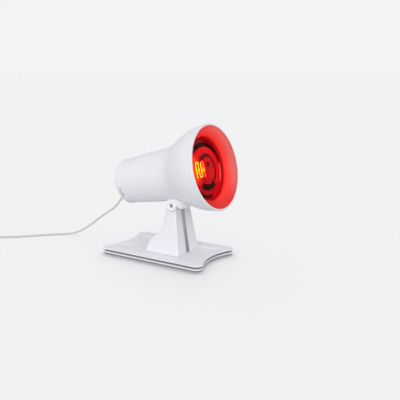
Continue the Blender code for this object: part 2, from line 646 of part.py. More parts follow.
def build_post(parent, paint):
    roof_z = PIVOT_Z - SEAT_RADIUS - POST_ROOF
    below, above = POST_FOOT_Z - OVERRUN, POST_TOP_Z + OVERRUN
    levels = [below] + [z for z in post_levels()[1:] if z < roof_z] + [roof_z]
    rings = []
    for z in levels:
        half = post_half_section(z, POST_WALL, 0.0)
        ring = half + [(-x, y) for x, y in reversed(half[1:-1])]
        rings.append([Vector((x, y, z)) for x, y in ring])
    cavity = loft("cut_post_cavity", rings, None, parent)
    spine = channel_prism("keep_channel_walls", CHANNEL_HALF_WIDTH + CHANNEL_WALL, OVERRUN,
                          CHANNEL_DEPTH + CHANNEL_WALL, below - OVERRUN, above, None, parent)
    combine(cavity, spine)
    channel = channel_prism("cut_channel", CHANNEL_HALF_WIDTH, OVERRUN, CHANNEL_DEPTH,
                            below, above, None, parent)
    reach = POST_FOOT_HALF_WIDTH + OVERRUN
    seat = rod("cut_seat", (-reach, PIVOT_Y, PIVOT_Z), (reach, PIVOT_Y, PIVOT_Z), SEAT_RADIUS,
               HEAD_SIDES, parent=parent)
    slot_half = BARREL_HALF_WIDTH + 2 * GAP
    neck_half = NECK_HALF_THICKNESS + GAP
    slot = block("cut_neck_slot", (-slot_half, PIVOT_Y - neck_half, roof_z - OVERRUN),
                 (slot_half, PIVOT_Y + neck_half, above), parent=parent)

    head_radius, _, shank_radius = POST_SCREW
    boss_radius = POST_BOSS_RADIUS
    for side, name in ((-1, "post_left_shell"), (1, "post_right_shell")):
        rings = []
        for z in post_levels():
            half = post_half_section(z, 0.0, POST_SPLIT / 2)
            rings.append([Vector((side * x, y, z)) for x, y in half])
        shell = loft(name, rings, paint["white"], parent)
        combine(shell, cavity)
        for i, share in enumerate(POST_SCREW_SHARES, start=1):
            z = POST_FOOT_Z + (POST_TOP_Z - POST_FOOT_Z) * share
            y = post_rear(z) - POST_SCREW_INSET
            outer = side * (post_half_width(z) - POST_WALL / 2)
            boss = rod(f"boss_{name}_{i}", (side * POST_SPLIT / 2, y, z), (outer, y, z),
                       boss_radius, SMALL_SIDES, parent=parent)
            combine(shell, boss, "UNION")
            end_x = POST_SCREW_SEAT_X - POST_SCREW_LENGTH
            hole = rod(f"cut_{name}_{i}", (end_x - GAP, y, z), (POST_SCREW_SEAT_X + GAP, y, z),
                       shank_radius + GAP, SMALL_SIDES, parent=parent)
            combine(shell, hole)
            if side > 0:
                sink = rod(f"cut_post_sink_{i}", (POST_SCREW_SEAT_X, y, z), (reach, y, z),
                           head_radius + GAP, SMALL_SIDES, parent=parent)
                combine(shell, sink)
                add_screw(f"post_screw_{i}", (POST_SCREW_SEAT_X, y, z), (-1, 0, 0), POST_SCREW,
                          POST_SCREW_LENGTH, paint["steel"], parent)
        combine(shell, channel)
        combine(shell, seat)
        combine(shell, slot)
    channel_prism("post_channel_strip", CHANNEL_HALF_WIDTH - GAP,
                  STRIP_THICKNESS + GAP - CHANNEL_DEPTH, CHANNEL_DEPTH - GAP, POST_FOOT_Z,
                  PIVOT_Z - SEAT_RADIUS, paint["grey"], parent)


def build_hinge_bracket(parent, paint):
    """The cast upright inside the post, its barrel on the tilt axis and its foot on the base."""
    neck_angle = math.asin(NECK_HALF_THICKNESS / BARREL_RADIUS)
    foot_top = POST_FOOT_Z + BRACKET_FOOT_THICKNESS
    barrel = arc((PIVOT_Y, PIVOT_Z), BARREL_RADIUS, neck_angle - math.pi / 2,
                 math.pi * 3 / 2 - neck_angle, SMALL_SIDES)
    left, right = PIVOT_Y - NECK_HALF_THICKNESS, PIVOT_Y + NECK_HALF_THICKNESS
    foot_left = PIVOT_Y - BRACKET_FOOT_HALF_DEPTH
    foot_right = PIVOT_Y + BRACKET_FOOT_HALF_DEPTH
    outline = barrel + [(left, foot_top), (foot_left, foot_top), (foot_left, POST_FOOT_Z),
                        (foot_right, POST_FOOT_Z), (foot_right, foot_top), (right, foot_top)]
    bracket = side_prism("hinge_bracket", outline, BARREL_HALF_WIDTH, paint["cast"], parent)
    reach = BARREL_HALF_WIDTH + OVERRUN
    bore = rod("cut_barrel_bore", (-reach, PIVOT_Y, PIVOT_Z), (reach, PIVOT_Y, PIVOT_Z),
               BOLT_RADIUS + GAP, SMALL_SIDES, parent=parent)
    combine(bracket, bore)
    for i, (x, y) in enumerate(bracket_screw_places(), start=1):
        hole = rod(f"cut_bracket_foot_{i}", (x, y, POST_FOOT_Z - OVERRUN),
                   (x, y, foot_top + OVERRUN), BRACKET_SCREW[2] + GAP, SMALL_SIDES, parent=parent)
        combine(bracket, hole)
        add_screw(f"bracket_screw_{i}", (x, y, foot_top), (0, 0, -1), BRACKET_SCREW,
                  foot_top - BALLAST_BOTTOM, paint["steel"], parent)


def radius_at(profile, s):
    places, radii = zip(*profile)
    return float(np.interp(s, places, radii))


def inset_profile(profile, wall):
    """A turned profile moved in by a wall, square to itself, with its ends kept level."""
    points = np.array(profile)
    run = np.gradient(points, axis=0)
    run /= np.linalg.norm(run, axis=1, keepdims=True)
    moved = points + wall * np.stack([run[:, 1], -run[:, 0]], axis=1)
    moved[0] = points[0] - (0.0, wall)
    moved[-1] = points[-1] - (0.0, wall)
    return [tuple(p) for p in moved]


HOUSING_INNER = inset_profile(HOUSING_PROFILE, HOUSING_WALL)
HOUSING_FRONT = HOUSING_PROFILE[0][0]
HOUSING_END = HOUSING_PROFILE[-1][0]
HEAD_AXIS = (0.0, -RIM_AHEAD, AXIS_ABOVE)    # rim centre, from the tilt axis
TO_REAR = (0, 1, 0)


def on_head(s, x=0.0, z=0.0):
    """A place in the head's own frame, by its distance behind the rim plane."""
    return (x, s - RIM_AHEAD, AXIS_ABOVE + z)


def head_turned(name, profile, sides, material, parent, ring_solid=False):
    return turned(name, HEAD_AXIS, TO_REAR, profile, sides, material, parent, ring_solid)


def head_rod(name, start, end, x, z, radius, parent, sides=SMALL_SIDES):
    return rod(name, on_head(start, x, z), on_head(end, x, z), radius, sides, parent=parent)


def build_housing(parent, paint):
    inner = []
    for s, r in reversed(HOUSING_INNER):
        if s < LEDGE_START and inner[-1][0] > LEDGE_START:
            rear, front = radius_at(HOUSING_INNER, LEDGE_END), radius_at(HOUSING_INNER, LEDGE_START)
            inner += [(LEDGE_END, rear), (LEDGE_END, rear - LEDGE_HEIGHT),
                      (LEDGE_START, front - LEDGE_HEIGHT), (LEDGE_START, front)]
        inner.append((s, r))
    housing = head_turned("head_housing", list(HOUSING_PROFILE) + inner, HEAD_SIDES,
                          paint["white"], parent, ring_solid=True)
    for side in (-1, 1):
        reach = AXIS_ABOVE - SADDLE_TOP
        hole = rod(f"cut_housing_saddle_{side + 2}", (side * SADDLE_SCREW_X, 0.0, 0.0),
                   (side * SADDLE_SCREW_X, 0.0, reach), SADDLE_SCREW[2] + GAP, SMALL_SIDES,
                   parent=parent)
        combine(housing, hole)

    bezel_back = HOUSING_FRONT - GAP
    skirt = radius_at(HOUSING_PROFILE, BEZEL_DEPTH) + GAP
    profile = ((BEZEL_DEPTH, skirt), (BEZEL_DEPTH, BEZEL_RADIUS - BEZEL_ROLL / 2),
               (BEZEL_DEPTH - BEZEL_ROLL / 2, BEZEL_RADIUS), (BEZEL_ROLL, BEZEL_RADIUS),
               (BEZEL_ROLL / 4, BEZEL_RADIUS - BEZEL_ROLL / 2), (0.0, BEZEL_RADIUS - BEZEL_ROLL * 2),
               (BEZEL_ROLL / 4, BEZEL_INNER + BEZEL_ROLL / 2), (BEZEL_ROLL, BEZEL_INNER),
               (bezel_back, BEZEL_INNER), (bezel_back, skirt))
    head_turned("rim_bezel", profile, HEAD_SIDES, paint["white"], parent, ring_solid=True)

    flange = radius_at(HOUSING_INNER, HOUSING_FRONT) - GAP
    cone_back = RING_REAR + RING_WALL / 2
    profile = ((HOUSING_FRONT, RING_FRONT_RADIUS - RING_FLANGE), (RING_REAR, RING_REAR_RADIUS),
               (RING_REAR + RING_LIP, RING_REAR_RADIUS),
               (RING_REAR + RING_LIP, RING_REAR_RADIUS + RING_WALL),
               (cone_back, RING_REAR_RADIUS + RING_WALL),
               (HOUSING_FRONT + RING_WALL, flange - RING_FLANGE),
               (HOUSING_FRONT + RING_WALL, flange), (HOUSING_FRONT, flange))
    head_turned("reflector_ring", profile, HEAD_SIDES, paint["coral"], parent, ring_solid=True)

    places = [SHIELD_START] + [s for s, _ in HOUSING_INNER if SHIELD_START < s < LEDGE_START]
    shield_end = LEDGE_START - GAP
    flange_front = shield_end - SHIELD_FLANGE
    outer = [(s, radius_at(HOUSING_INNER, s) - SHIELD_SPACE) for s in places + [flange_front]]
    flange = radius_at(HOUSING_INNER, shield_end) - 2 * GAP
    inner_end = outer[-1][1] - SHIELD_WALL
    inner = [(s, r - SHIELD_WALL) for s, r in reversed(outer[:-1])]
    profile = outer + [(flange_front, flange), (shield_end, flange), (shield_end, inner_end)] + inner
    head_turned("heat_shield", profile, INNER_SIDES, paint["aluminium"], parent, ring_solid=True)


def ring_places(count, radius, first_angle):
    places = []
    for i in range(count):
        angle = first_angle + math.tau * i / count
        places.append((radius * math.cos(angle), radius * math.sin(angle)))
    return places


def vent_row(name, s, radius, parent):
    """Short slots round the lower half of the cap's wall, as blocks that stand through it."""
    points, faces = [], []
    inner, outer = radius - OVERRUN * 2, radius + OVERRUN
    for i in range(VENT_COUNT):
        angle = math.pi * (1 + (i + 1 / 2) / VENT_COUNT)
        out = Vector((math.cos(angle), 0.0, math.sin(angle)))
        aside = Vector((-math.sin(angle), 0.0, math.cos(angle)))
        first = len(points)
        for along in (-VENT_WIDTH / 2, VENT_WIDTH / 2):
            for r, t in ((inner, -1), (inner, 1), (outer, 1), (outer, -1)):
                place = Vector(on_head(s + along)) + out * r + aside * VENT_HALF_LENGTH * t
                points.append(place)
        faces.append(tuple(range(first, first + 4)))
        faces.append(tuple(range(first + 4, first + 8)))
        for j in range(4):
            k = (j + 1) % 4
            faces.append((first + j, first + k, first + 4 + k, first + 4 + j))
    return add_solid(name, points, faces, None, parent)


def build_rear_cap(parent, paint):
    start = HOUSING_END + GAP
    outer = HOUSING_PROFILE[-1][1]
    spigot_outer = outer - HOUSING_WALL - GAP
    spigot_inner = spigot_outer - CAP_WALL
    corner = []
    for place, radius in arc((CAP_END - CAP_ROUNDING, outer - CAP_ROUNDING), CAP_ROUNDING,
                             0.0, math.pi / 2, ROUND_STEPS):
        corner.append((place, radius))
    inside = CAP_END - CAP_WALL
    profile = ([(CAP_END, 0.0)] + corner
               + [(start, outer), (start, spigot_outer), (start - CAP_SPIGOT, spigot_outer),
                  (start - CAP_SPIGOT, spigot_inner), (start + CAP_WALL, spigot_inner),
                  (start + CAP_WALL, outer - CAP_WALL), (CAP_END - CAP_ROUNDING, outer - CAP_WALL),
                  (inside, outer - CAP_ROUNDING), (inside, 0.0)])
    cap = head_turned("rear_cap", profile, HEAD_SIDES, paint["white"], parent)
    for i, s in enumerate(VENT_ROWS, start=1):
        combine(cap, vent_row(f"cut_vents_{i}", CAP_END - s, outer, parent))

    screw_radius = CAP_SCREW[2]
    plate_front = LEDGE_END + GAP
    screw_length = CAP_END - plate_front + CAP_SCREW_THROUGH
    for i, (x, z) in enumerate(ring_places(CAP_SCREW_COUNT, CAP_SCREW_RING, math.pi / 2), start=1):
        add_screw(f"rear_cap_screw_{i}", on_head(CAP_END, x, z), (0, -1, 0), CAP_SCREW,
                  screw_length, paint["steel"], parent)
        hole = head_rod(f"cut_cap_screw_{i}", inside - OVERRUN, CAP_END + OVERRUN, x, z,
                        screw_radius + GAP, parent)
        combine(cap, hole)
    hole = head_rod("cut_cap_relief", inside - OVERRUN, CAP_END + OVERRUN, 0.0, -CORD_BELOW,
                    RELIEF_RADIUS + GAP, parent)
    combine(cap, hole)
    return cap


def switch_rectangle(s, grow):
    half_x = ROCKER_HALF_WIDTH + ROCKER_CLEARANCE + grow
    half_z = math.hypot(ROCKER_HALF_LENGTH, ROCKER_RISE) + GAP + grow
    return [Vector(on_head(s, x * half_x, SWITCH_ABOVE + z * half_z))
            for x, z in ((-1, -1), (1, -1), (1, 1), (-1, 1))]


def build_switch(parent, rocker_parent, cap, paint):
    face = CAP_END + GAP
    front = face + SWITCH_FLANGE_THICKNESS
    flange = SWITCH_WALL + SWITCH_FLANGE
    rings = [switch_rectangle(CAP_END - SWITCH_DEPTH, SWITCH_WALL), switch_rectangle(face, SWITCH_WALL),
             switch_rectangle(face, flange), switch_rectangle(front, flange),
             switch_rectangle(front, 0.0), switch_rectangle(CAP_END - SWITCH_POCKET, 0.0)]
    loft("switch_frame", rings, paint["dark"], parent)
    opening = loft("cut_cap_switch", [switch_rectangle(CAP_END - CAP_WALL - OVERRUN, SWITCH_WALL + GAP),
                                      switch_rectangle(CAP_END + OVERRUN, SWITCH_WALL + GAP)],
                   None, parent)
    combine(cap, opening)
    outline = [(ROCKER_RISE, -ROCKER_HALF_LENGTH), (ROCKER_RISE - ROCKER_CREST, 0.0),
               (ROCKER_RISE, ROCKER_HALF_LENGTH), (-ROCKER_DEPTH, ROCKER_FOOT),
               (-ROCKER_DEPTH, -ROCKER_FOOT)]
    side_prism("switch_rocker", outline, ROCKER_HALF_WIDTH, paint["dark"], rocker_parent)


def build_holder(parent, paint):
    start = NECK_END + 2 * GAP
    bore = BULB_CAP_RADIUS + HOLDER_BORE_CLEARANCE
    bottom = BULB_CAP_END + GAP
    profile = ((LEDGE_END, 0.0), (LEDGE_END, HOLDER_RADIUS - HOLDER_EDGE),
               (LEDGE_END - HOLDER_EDGE, HOLDER_RADIUS), (start + HOLDER_EDGE, HOLDER_RADIUS),
               (start, HOLDER_RADIUS - HOLDER_EDGE), (start, bore), (bottom, bore), (bottom, 0.0))
    holder = head_turned("lamp_holder", profile, INNER_SIDES, paint["ceramic"], parent)
    front = LEDGE_END + GAP
    rear = front + BRACKET_PLATE
    radius = radius_at(HOUSING_INNER, rear) - GAP
    plate = rod("holder_bracket", on_head(front), on_head(rear), radius, INNER_SIDES,
                paint["steel"], parent)
    windows = ring_places(CAP_SCREW_COUNT, BRACKET_WINDOW_RING, -math.pi / 2)
    for i, (x, z) in enumerate(windows, start=1):
        combine(plate, head_rod(f"cut_window_{i}", front - OVERRUN, rear + OVERRUN, x, z,
                                BRACKET_WINDOW_RADIUS, parent, INNER_SIDES))
    for i, (x, z) in enumerate(ring_places(CAP_SCREW_COUNT, CAP_SCREW_RING, math.pi / 2), start=1):
        combine(plate, head_rod(f"cut_plate_cap_{i}", front - OVERRUN, rear + OVERRUN, x, z,
                                CAP_SCREW[2] + GAP, parent))
    for i, side in enumerate((-1, 1), start=1):
        x = HOLDER_SCREW_X * side
        add_screw(f"holder_screw_{i}", on_head(rear, x), (0, -1, 0), HOLDER_SCREW,
                  HOLDER_SCREW_LENGTH, paint["steel"], parent)
        hole = head_rod(f"cut_holder_{i}", rear - HOLDER_SCREW_LENGTH - GAP, rear + OVERRUN, x, 0.0,
                        HOLDER_SCREW[2] + GAP, parent)
        combine(plate, hole)
        combine(holder, hole)


def build_bulb(parent, paint):
    def dome(front, share):
        return front + LENS_CROWN * share ** 2, BULB_RADIUS * share
    front_shares = (0.0, 0.35, 0.62, 0.83, 0.95, 1.0)
    back_shares = (1.0, 0.93, 0.62, 0.35, 0.0)
    profile = [dome(LENS_FRONT, share) for share in front_shares]
    profile += [dome(LENS_FRONT + LENS_THICKNESS, share) for share in back_shares]
    head_turned("bulb_lens", profile, HEAD_SIDES, paint["red_glass"], parent)

    rim = LENS_FRONT + LENS_CROWN + LENS_THICKNESS + GAP
    bowl_start = rim + BOWL_RIM_DEPTH
    bowl_radius = BULB_RADIUS - BOWL_RIM_INSET
    outer = [(rim, BULB_RADIUS), (rim + BOWL_RIM_DEPTH - BOWL_RIM_INSET / 2, BULB_RADIUS)]
    for i in range(BOWL_STEPS + 1):
        radius = bowl_radius + (NECK_RADIUS - bowl_radius) * i / BOWL_STEPS
        depth = (BOWL_VERTEX - bowl_start) * (radius / bowl_radius) ** 2
        outer.append((BOWL_VERTEX - depth, radius))
    outer.append((NECK_END, NECK_RADIUS))
    inner = inset_profile(outer, BOWL_WALL)
    head_turned("bulb_reflector", outer + inner[::-1], BULB_SIDES, paint["mirror"], parent,
                ring_solid=True)

    start = NECK_END + GAP
    profile = ((start, 0.0), (start, BULB_CAP_RADIUS), (BULB_CAP_END - BULB_CAP_TAPER, BULB_CAP_RADIUS),
               (BULB_CAP_END - BULB_CAP_TAPER / 2, BULB_TIP_RADIUS + BULB_CAP_TAPER / 2),
               (BULB_CAP_END, BULB_TIP_RADIUS), (BULB_CAP_END, 0.0))
    head_turned("bulb_screw_cap", profile, INNER_SIDES, paint["brass"], parent)

    flare = NECK_RADIUS - BOWL_WALL - GAP
    stem_end = NECK_END - STEM_FLARE
    profile = ((STEM_TOP, 0.0), (STEM_TOP, STEM_RADIUS), (stem_end - 3 * STEM_FLARE, STEM_RADIUS),
               (stem_end - STEM_FLARE, flare / 2), (stem_end, flare), (stem_end + STEM_FLARE / 2, flare),
               (stem_end + STEM_FLARE / 2, 0.0))
    head_turned("bulb_stem", profile, SMALL_SIDES, paint["clear_glass"], parent)

    low = -FILAMENT_RISE / 2
    wire_reach = WIRE_SPREAD + WIRE_RADIUS + FILAMENT_RADIUS + GAP * 2
    for i, side in enumerate((-1, 1), start=1):
        rod(f"lead_wire_{i}", on_head(STEM_TOP - GAP - WIRE_RADIUS, side * STEM_RADIUS / 2),
            on_head(FILAMENT_AT, side * wire_reach, low), WIRE_RADIUS, SMALL_SIDES // 2,
            paint["steel"], parent)
    turn = WIRE_SPREAD / (FILAMENT_STROKES - 1)
    route = [(-WIRE_SPREAD, low)]
    for i in range(FILAMENT_STROKES - 1):
        side = -1 if i % 2 else 1
        centre = (-WIRE_SPREAD + turn * (2 * i + 1), -side * (low + turn))
        route += arc(centre, turn, math.pi, math.pi * (1 - side), SMALL_SIDES // 2)
    route.append((WIRE_SPREAD, low))
    strand = [on_head(FILAMENT_AT, x, z) for x, z in route]
    add_tube("filament", strand, FILAMENT_RADIUS, FINE_ROUNDNESS, paint["filament"], parent)


def build_chin(parent):
    """The bowed front of the saddle, hollowed below so that it swings clear of the post."""
    half = SADDLE_HALF_WIDTH - SADDLE_EDGE
    radius = (half ** 2 + CHIN_BULGE ** 2) / (2 * CHIN_BULGE)
    reach = math.asin(half / radius)
    centre = (0.0, radius - SADDLE_HALF_DEPTH - CHIN_BULGE)
    plan = arc(centre, radius, -math.pi / 2 - reach, -math.pi / 2 + reach, CHIN_STEPS)
    root = CHIN_ROOT - SADDLE_HALF_DEPTH
    plan += [(half, root), (-half, root)]
    rings = [[Vector((x, y, z)) for x, y in plan] for z in (-CHIN_DROP, SADDLE_TOP)]
    chin = loft("keep_chin", rings, None, parent)

    swept = []
    for level in range(CHIN_RELIEF_LEVELS):
        z = POST_TOP_Z - CHIN_RELIEF_STEP * level
        y, drop = PIVOT_Y - post_front(z), PIVOT_Z - z
        distance, angle = math.hypot(y, drop), math.atan2(drop, y) - TILT_DOWN
        swept.append((-distance * math.cos(angle) - CHIN_CLEARANCE, -distance * math.sin(angle)))
    ceiling = swept[0][1] + CHIN_CLEARANCE
    floor = swept[-1][1] - OVERRUN
    outline = [(0.0, ceiling), (swept[0][0], ceiling)] + swept + [(swept[-1][0], floor), (0.0, floor)]
    combine(chin, side_prism("cut_chin_swing", outline, SADDLE_HALF_WIDTH + OVERRUN, None, parent))
    return chin


def build_saddle(level_parent, head_parent, paint):
    """The hinge lug under the head, with its round foot on the post's seat."""
    corner = math.asin(SADDLE_HALF_DEPTH / SADDLE_RADIUS)
    foot = arc((0.0, 0.0), SADDLE_RADIUS, -math.pi / 2 - corner, -math.pi / 2 + corner, SMALL_SIDES)
    outline = foot + [(SADDLE_HALF_DEPTH, SADDLE_TOP), (-SADDLE_HALF_DEPTH, SADDLE_TOP)]
    saddle = side_prism("tilt_saddle", outline, SADDLE_HALF_WIDTH, paint["white"], level_parent)
    edge = saddle.modifiers.new("edges", "BEVEL")
    edge.width = SADDLE_EDGE
    edge.segments = EDGE_STEPS
    edge.limit_method = "ANGLE"
    edge.angle_limit = SADDLE_EDGE_ANGLE
    combine(saddle, build_chin(level_parent), "UNION")

    body = [(s, r + GAP) for s, r in HOUSING_PROFILE]
    body = [(HOUSING_FRONT, 0.0)] + body + [(HOUSING_END, 0.0)]
    combine(saddle, head_turned("cut_head_shape", body, HEAD_SIDES, None, head_parent))
    pocket = rod("cut_barrel_room", (-CHEEK_INNER, 0.0, 0.0), (CHEEK_INNER, 0.0, 0.0),
                 BARREL_RADIUS + BARREL_CLEARANCE, INNER_SIDES, parent=level_parent)
    combine(saddle, pocket)
    offset = NECK_HALF_THICKNESS + BARREL_CLEARANCE
    reach = SADDLE_RADIUS + SADDLE_TOP
    wedge = []
    for angle, side in ((TILT_DOWN, -1), (TILT_UP, 1)):
        start = Vector((side * offset * math.cos(angle), offset * math.sin(angle)))
        down = Vector((side * math.sin(angle), -math.cos(angle)))
        pair = [tuple(start), tuple(start + down * reach)]
        wedge += pair if side < 0 else pair[::-1]
    combine(saddle, side_prism("cut_neck_swing", wedge, CHEEK_INNER, None, level_parent))

    outside = SADDLE_HALF_WIDTH + OVERRUN
    combine(saddle, rod("cut_bolt", (-outside, 0.0, 0.0), (outside, 0.0, 0.0), BOLT_RADIUS + GAP,
                        SMALL_SIDES, parent=level_parent))
    head_seat = -SADDLE_HALF_WIDTH + BOLT_SINK + BOLT_HEAD_HEIGHT
    combine(saddle, rod("cut_bolt_head", (-outside, 0.0, 0.0), (head_seat, 0.0, 0.0),
                        BOLT_HEAD_RADIUS + GAP, INNER_SIDES, parent=level_parent))
    nut_seat = SADDLE_HALF_WIDTH - BOLT_SINK - NUT_THICKNESS
    combine(saddle, rod("cut_nut", (nut_seat - GAP, 0.0, 0.0), (outside, 0.0, 0.0),
                        NUT_RADIUS + GAP, NUT_SIDES, parent=level_parent))

    socket_floor = BOLT_SINK - SADDLE_HALF_WIDTH + BOLT_SOCKET_DEPTH
    head_face = BOLT_SINK - SADDLE_HALF_WIDTH
    profile = ((socket_floor, 0.0), (socket_floor, BOLT_SOCKET_RADIUS), (head_face, BOLT_SOCKET_RADIUS),
               (head_face, BOLT_HEAD_RADIUS), (head_seat - GAP, BOLT_HEAD_RADIUS),
               (head_seat - GAP, BOLT_RADIUS), (nut_seat + NUT_THICKNESS, BOLT_RADIUS),
               (nut_seat + NUT_THICKNESS, 0.0))
    turned("pivot_bolt", (0.0, 0.0, 0.0), (1, 0, 0), profile, SMALL_SIDES, paint["steel"],
           level_parent)
    nut = rod("pivot_nut", (nut_seat, 0.0, 0.0), (nut_seat + NUT_THICKNESS, 0.0, 0.0), NUT_RADIUS,
              NUT_SIDES, paint["steel"], level_parent)
    combine(nut, rod("cut_nut_bore", (nut_seat - OVERRUN, 0.0, 0.0), (outside, 0.0, 0.0),
                     BOLT_RADIUS + GAP, SMALL_SIDES, parent=level_parent))
    for i, side in enumerate((-1, 1), start=1):
        start = side * (BARREL_HALF_WIDTH + GAP)
        end = start + side * WASHER_THICKNESS
        profile = ((start, BOLT_RADIUS + GAP), (start, WASHER_RADIUS), (end, WASHER_RADIUS),
                   (end, BOLT_RADIUS + GAP))
        turned(f"friction_washer_{i}", (0.0, 0.0, 0.0), (1, 0, 0), profile, SMALL_SIDES,
               paint["fibre"], level_parent, ring_solid=True)

        x = side * SADDLE_SCREW_X
        head_edge = SADDLE_SCREW_X + SADDLE_SCREW[0]
        inside_radius = radius_at(HOUSING_INNER, RIM_AHEAD)
        seat_z = AXIS_ABOVE - math.sqrt(inside_radius ** 2 - head_edge ** 2) + GAP
        add_screw(f"saddle_screw_{i}", (x, 0.0, seat_z), (0, 0, -1), SADDLE_SCREW,
                  SADDLE_SCREW_LENGTH, paint["steel"], head_parent)
        combine(saddle, rod(f"cut_saddle_screw_{i}", (x, 0.0, seat_z - SADDLE_SCREW_LENGTH - GAP),
                            (x, 0.0, seat_z), SADDLE_SCREW[2] + GAP, SMALL_SIDES,
                            parent=head_parent))


def relief_line():
    """Centre points and directions of the strain relief's taper, in the head's frame."""
    place = Vector(on_head(CAP_END, 0.0, -CORD_BELOW))
    direction = Vector(TO_REAR)
    line = [(place.copy(), direction.copy())]
    step = RELIEF_LENGTH / RELIEF_STEPS
    for i in range(RELIEF_STEPS):
        angle = RELIEF_BEND * (i + 1) / RELIEF_STEPS
        direction = Vector((0.0, math.cos(angle), -math.sin(angle)))
        place = place + direction * step
        line.append((place.copy(), direction.copy()))
    return line


def build_relief(parent, paint):
    inside = CAP_END - CAP_WALL - GAP
    centre = on_head(inside, 0.0, -CORD_BELOW)
    collar = on_head(inside - RELIEF_COLLAR, 0.0, -CORD_BELOW)
    rings = [circle(collar, TO_REAR, RELIEF_COLLAR_RADIUS, RELIEF_SIDES),
             circle(centre, TO_REAR, RELIEF_COLLAR_RADIUS, RELIEF_SIDES),
             circle(centre, TO_REAR, RELIEF_RADIUS, RELIEF_SIDES)]
    line = relief_line()
    for i, (place, direction) in enumerate(line):
        radius = RELIEF_RADIUS + (RELIEF_TIP_RADIUS - RELIEF_RADIUS) * i / RELIEF_STEPS
        rings.append(circle(place, direction, radius, RELIEF_SIDES))
    loft("strain_relief", rings, paint["white"], parent)


def head_to_base(vector, is_place=True):
    y = vector[1] * math.cos(REST_TILT) + vector[2] * math.sin(REST_TILT)
    z = vector[2] * math.cos(REST_TILT) - vector[1] * math.sin(REST_TILT)
    turned_vector = Vector((vector[0], y, z))
    return turned_vector + Vector(PIVOT) if is_place else turned_vector


def coil_path():
    """Loops that spiral in and out, layer on layer, and climb where the spiral turns back."""
    span = COIL_PITCH * COIL_LAYER_TURNS
    points = []
    count = round(COIL_LAYERS * COIL_LAYER_TURNS * COIL_LOOP_POINTS)
    for i in range(count + 1):
        turns = i / COIL_LOOP_POINTS
        layer, share = divmod(turns / COIL_LAYER_TURNS, 1)
        if layer % 2:
            share = 1 - share
        radius = COIL_MEAN_RADIUS + span / 2 - span * share
        height = CORD_RADIUS + GAP / 2
        for k in range(1, COIL_LAYERS):
            climb = min(max((turns - k * COIL_LAYER_TURNS) * 2 + 1 / 2, 0.0), 1.0)
            height += COIL_PITCH * (1 - math.cos(math.pi * climb)) / 2
        angle = COIL_START + math.tau * turns
        points.append(Vector((COIL_CENTRE[0] + radius * math.cos(angle),
                              COIL_CENTRE[1] + radius * math.sin(angle), height)))
    tangent = Vector((-math.sin(COIL_START), math.cos(COIL_START), 0.0))
    straight = tangent * CORD_RADIUS * 2
    return [points[0] - straight] + points + [points[-1] + straight], tangent


def least_gap(path):
    """The least free distance between turns that are not next to each other."""
    points = np.array(path)
    along = np.concatenate(([0.0], np.cumsum(np.linalg.norm(np.diff(points, axis=0), axis=1))))
    fine = np.linspace(0.0, along[-1], len(points) * GAP_STEPS)
    dense = np.stack([np.interp(fine, along, points[:, k]) for k in range(3)], axis=1)
    apart = np.linalg.norm(dense[:, None] - dense[None], axis=2)
    apart[np.abs(fine[:, None] - fine[None]) < COIL_MEAN_RADIUS] = np.inf
    return float(apart.min()) - 2 * CORD_RADIUS


def build_lead(parent, paint):
    tip, tip_direction = relief_line()[-1]
    start = head_to_base(tip)
    leave = head_to_base(tip_direction, is_place=False)
    coil, tangent = coil_path()
    straight = 2 * CORD_RADIUS
    route = [start + leave * GAP, start + leave * straight]
    route += [Vector(place) for place in LEAD_ROUTE]
    route += [coil[0] - tangent * straight, coil[0] - tangent * GAP]
    lead = smooth_path(route, CORD_SPACING)
    add_tube("cord_lead", lead, CORD_RADIUS, TUBE_ROUNDNESS, paint["cord"], parent)
    add_tube("cord_coil", coil, CORD_RADIUS, FINE_ROUNDNESS, paint["cord"], parent)

    heading = Vector((math.cos(PLUG_HEADING), math.sin(PLUG_HEADING), 0.0))
    aside = Vector((-heading.y, heading.x, 0.0))
    plug = Vector(PLUG_AT)
    route = [coil[-1] + tangent * GAP, coil[-1] + tangent * straight]
    route += [Vector(place) for place in TAIL_ROUTE]
    route += [plug - heading * straight, plug - heading * GAP]
    tail = smooth_path(route, CORD_SPACING)
    add_tube("cord_tail", tail, CORD_RADIUS, TUBE_ROUNDNESS, paint["cord"], parent)

    def plug_ring(along, half_width, half_height):
        edge = half_height * PLUG_EDGE_SHARE
        ring = []
        for u, v in ((-1, -1), (1, -1), (1, 1), (-1, 1)):
            pair = [(half_width * u, (half_height - edge) * v),
                    ((half_width - edge) * u, half_height * v)]
            ring += pair if u * v > 0 else pair[::-1]
        return [plug + heading * along + aside * a + Vector((0.0, 0.0, b)) for a, b in ring]

    shoulder = PLUG_LENGTH * PLUG_TAPER_SHARE
    rings = [plug_ring(0.0, PLUG_WAIST, PLUG_WAIST_HEIGHT),
             plug_ring(shoulder / 2, PLUG_WAIST, PLUG_WAIST_HEIGHT),
             plug_ring(shoulder, PLUG_HALF_WIDTH, PLUG_HALF_HEIGHT),
             plug_ring(PLUG_LENGTH, PLUG_HALF_WIDTH, PLUG_HALF_HEIGHT)]
    loft("plug_body", rings, paint["cord"], parent)
    face = plug + heading * (PLUG_LENGTH + GAP)
    profile = ((0.0, 0.0), (0.0, PIN_RADIUS), (PIN_LENGTH - PIN_TIP, PIN_RADIUS),
               (PIN_LENGTH, PIN_RADIUS - PIN_TIP), (PIN_LENGTH, 0.0))
    for i, side in enumerate((-1, 1), start=1):
        turned(f"plug_pin_{i}", face + aside * PIN_HALF_SPACING * side, heading, profile,
               SMALL_SIDES, paint["steel"], parent)

    total = path_length(lead) + path_length(coil) + path_length(tail)
    print(f"free cord {total:.4f} m, of which {path_length(coil):.4f} m coiled")
    print(f"least gap of the coil to itself {least_gap(coil) / MM:.2f} mm")


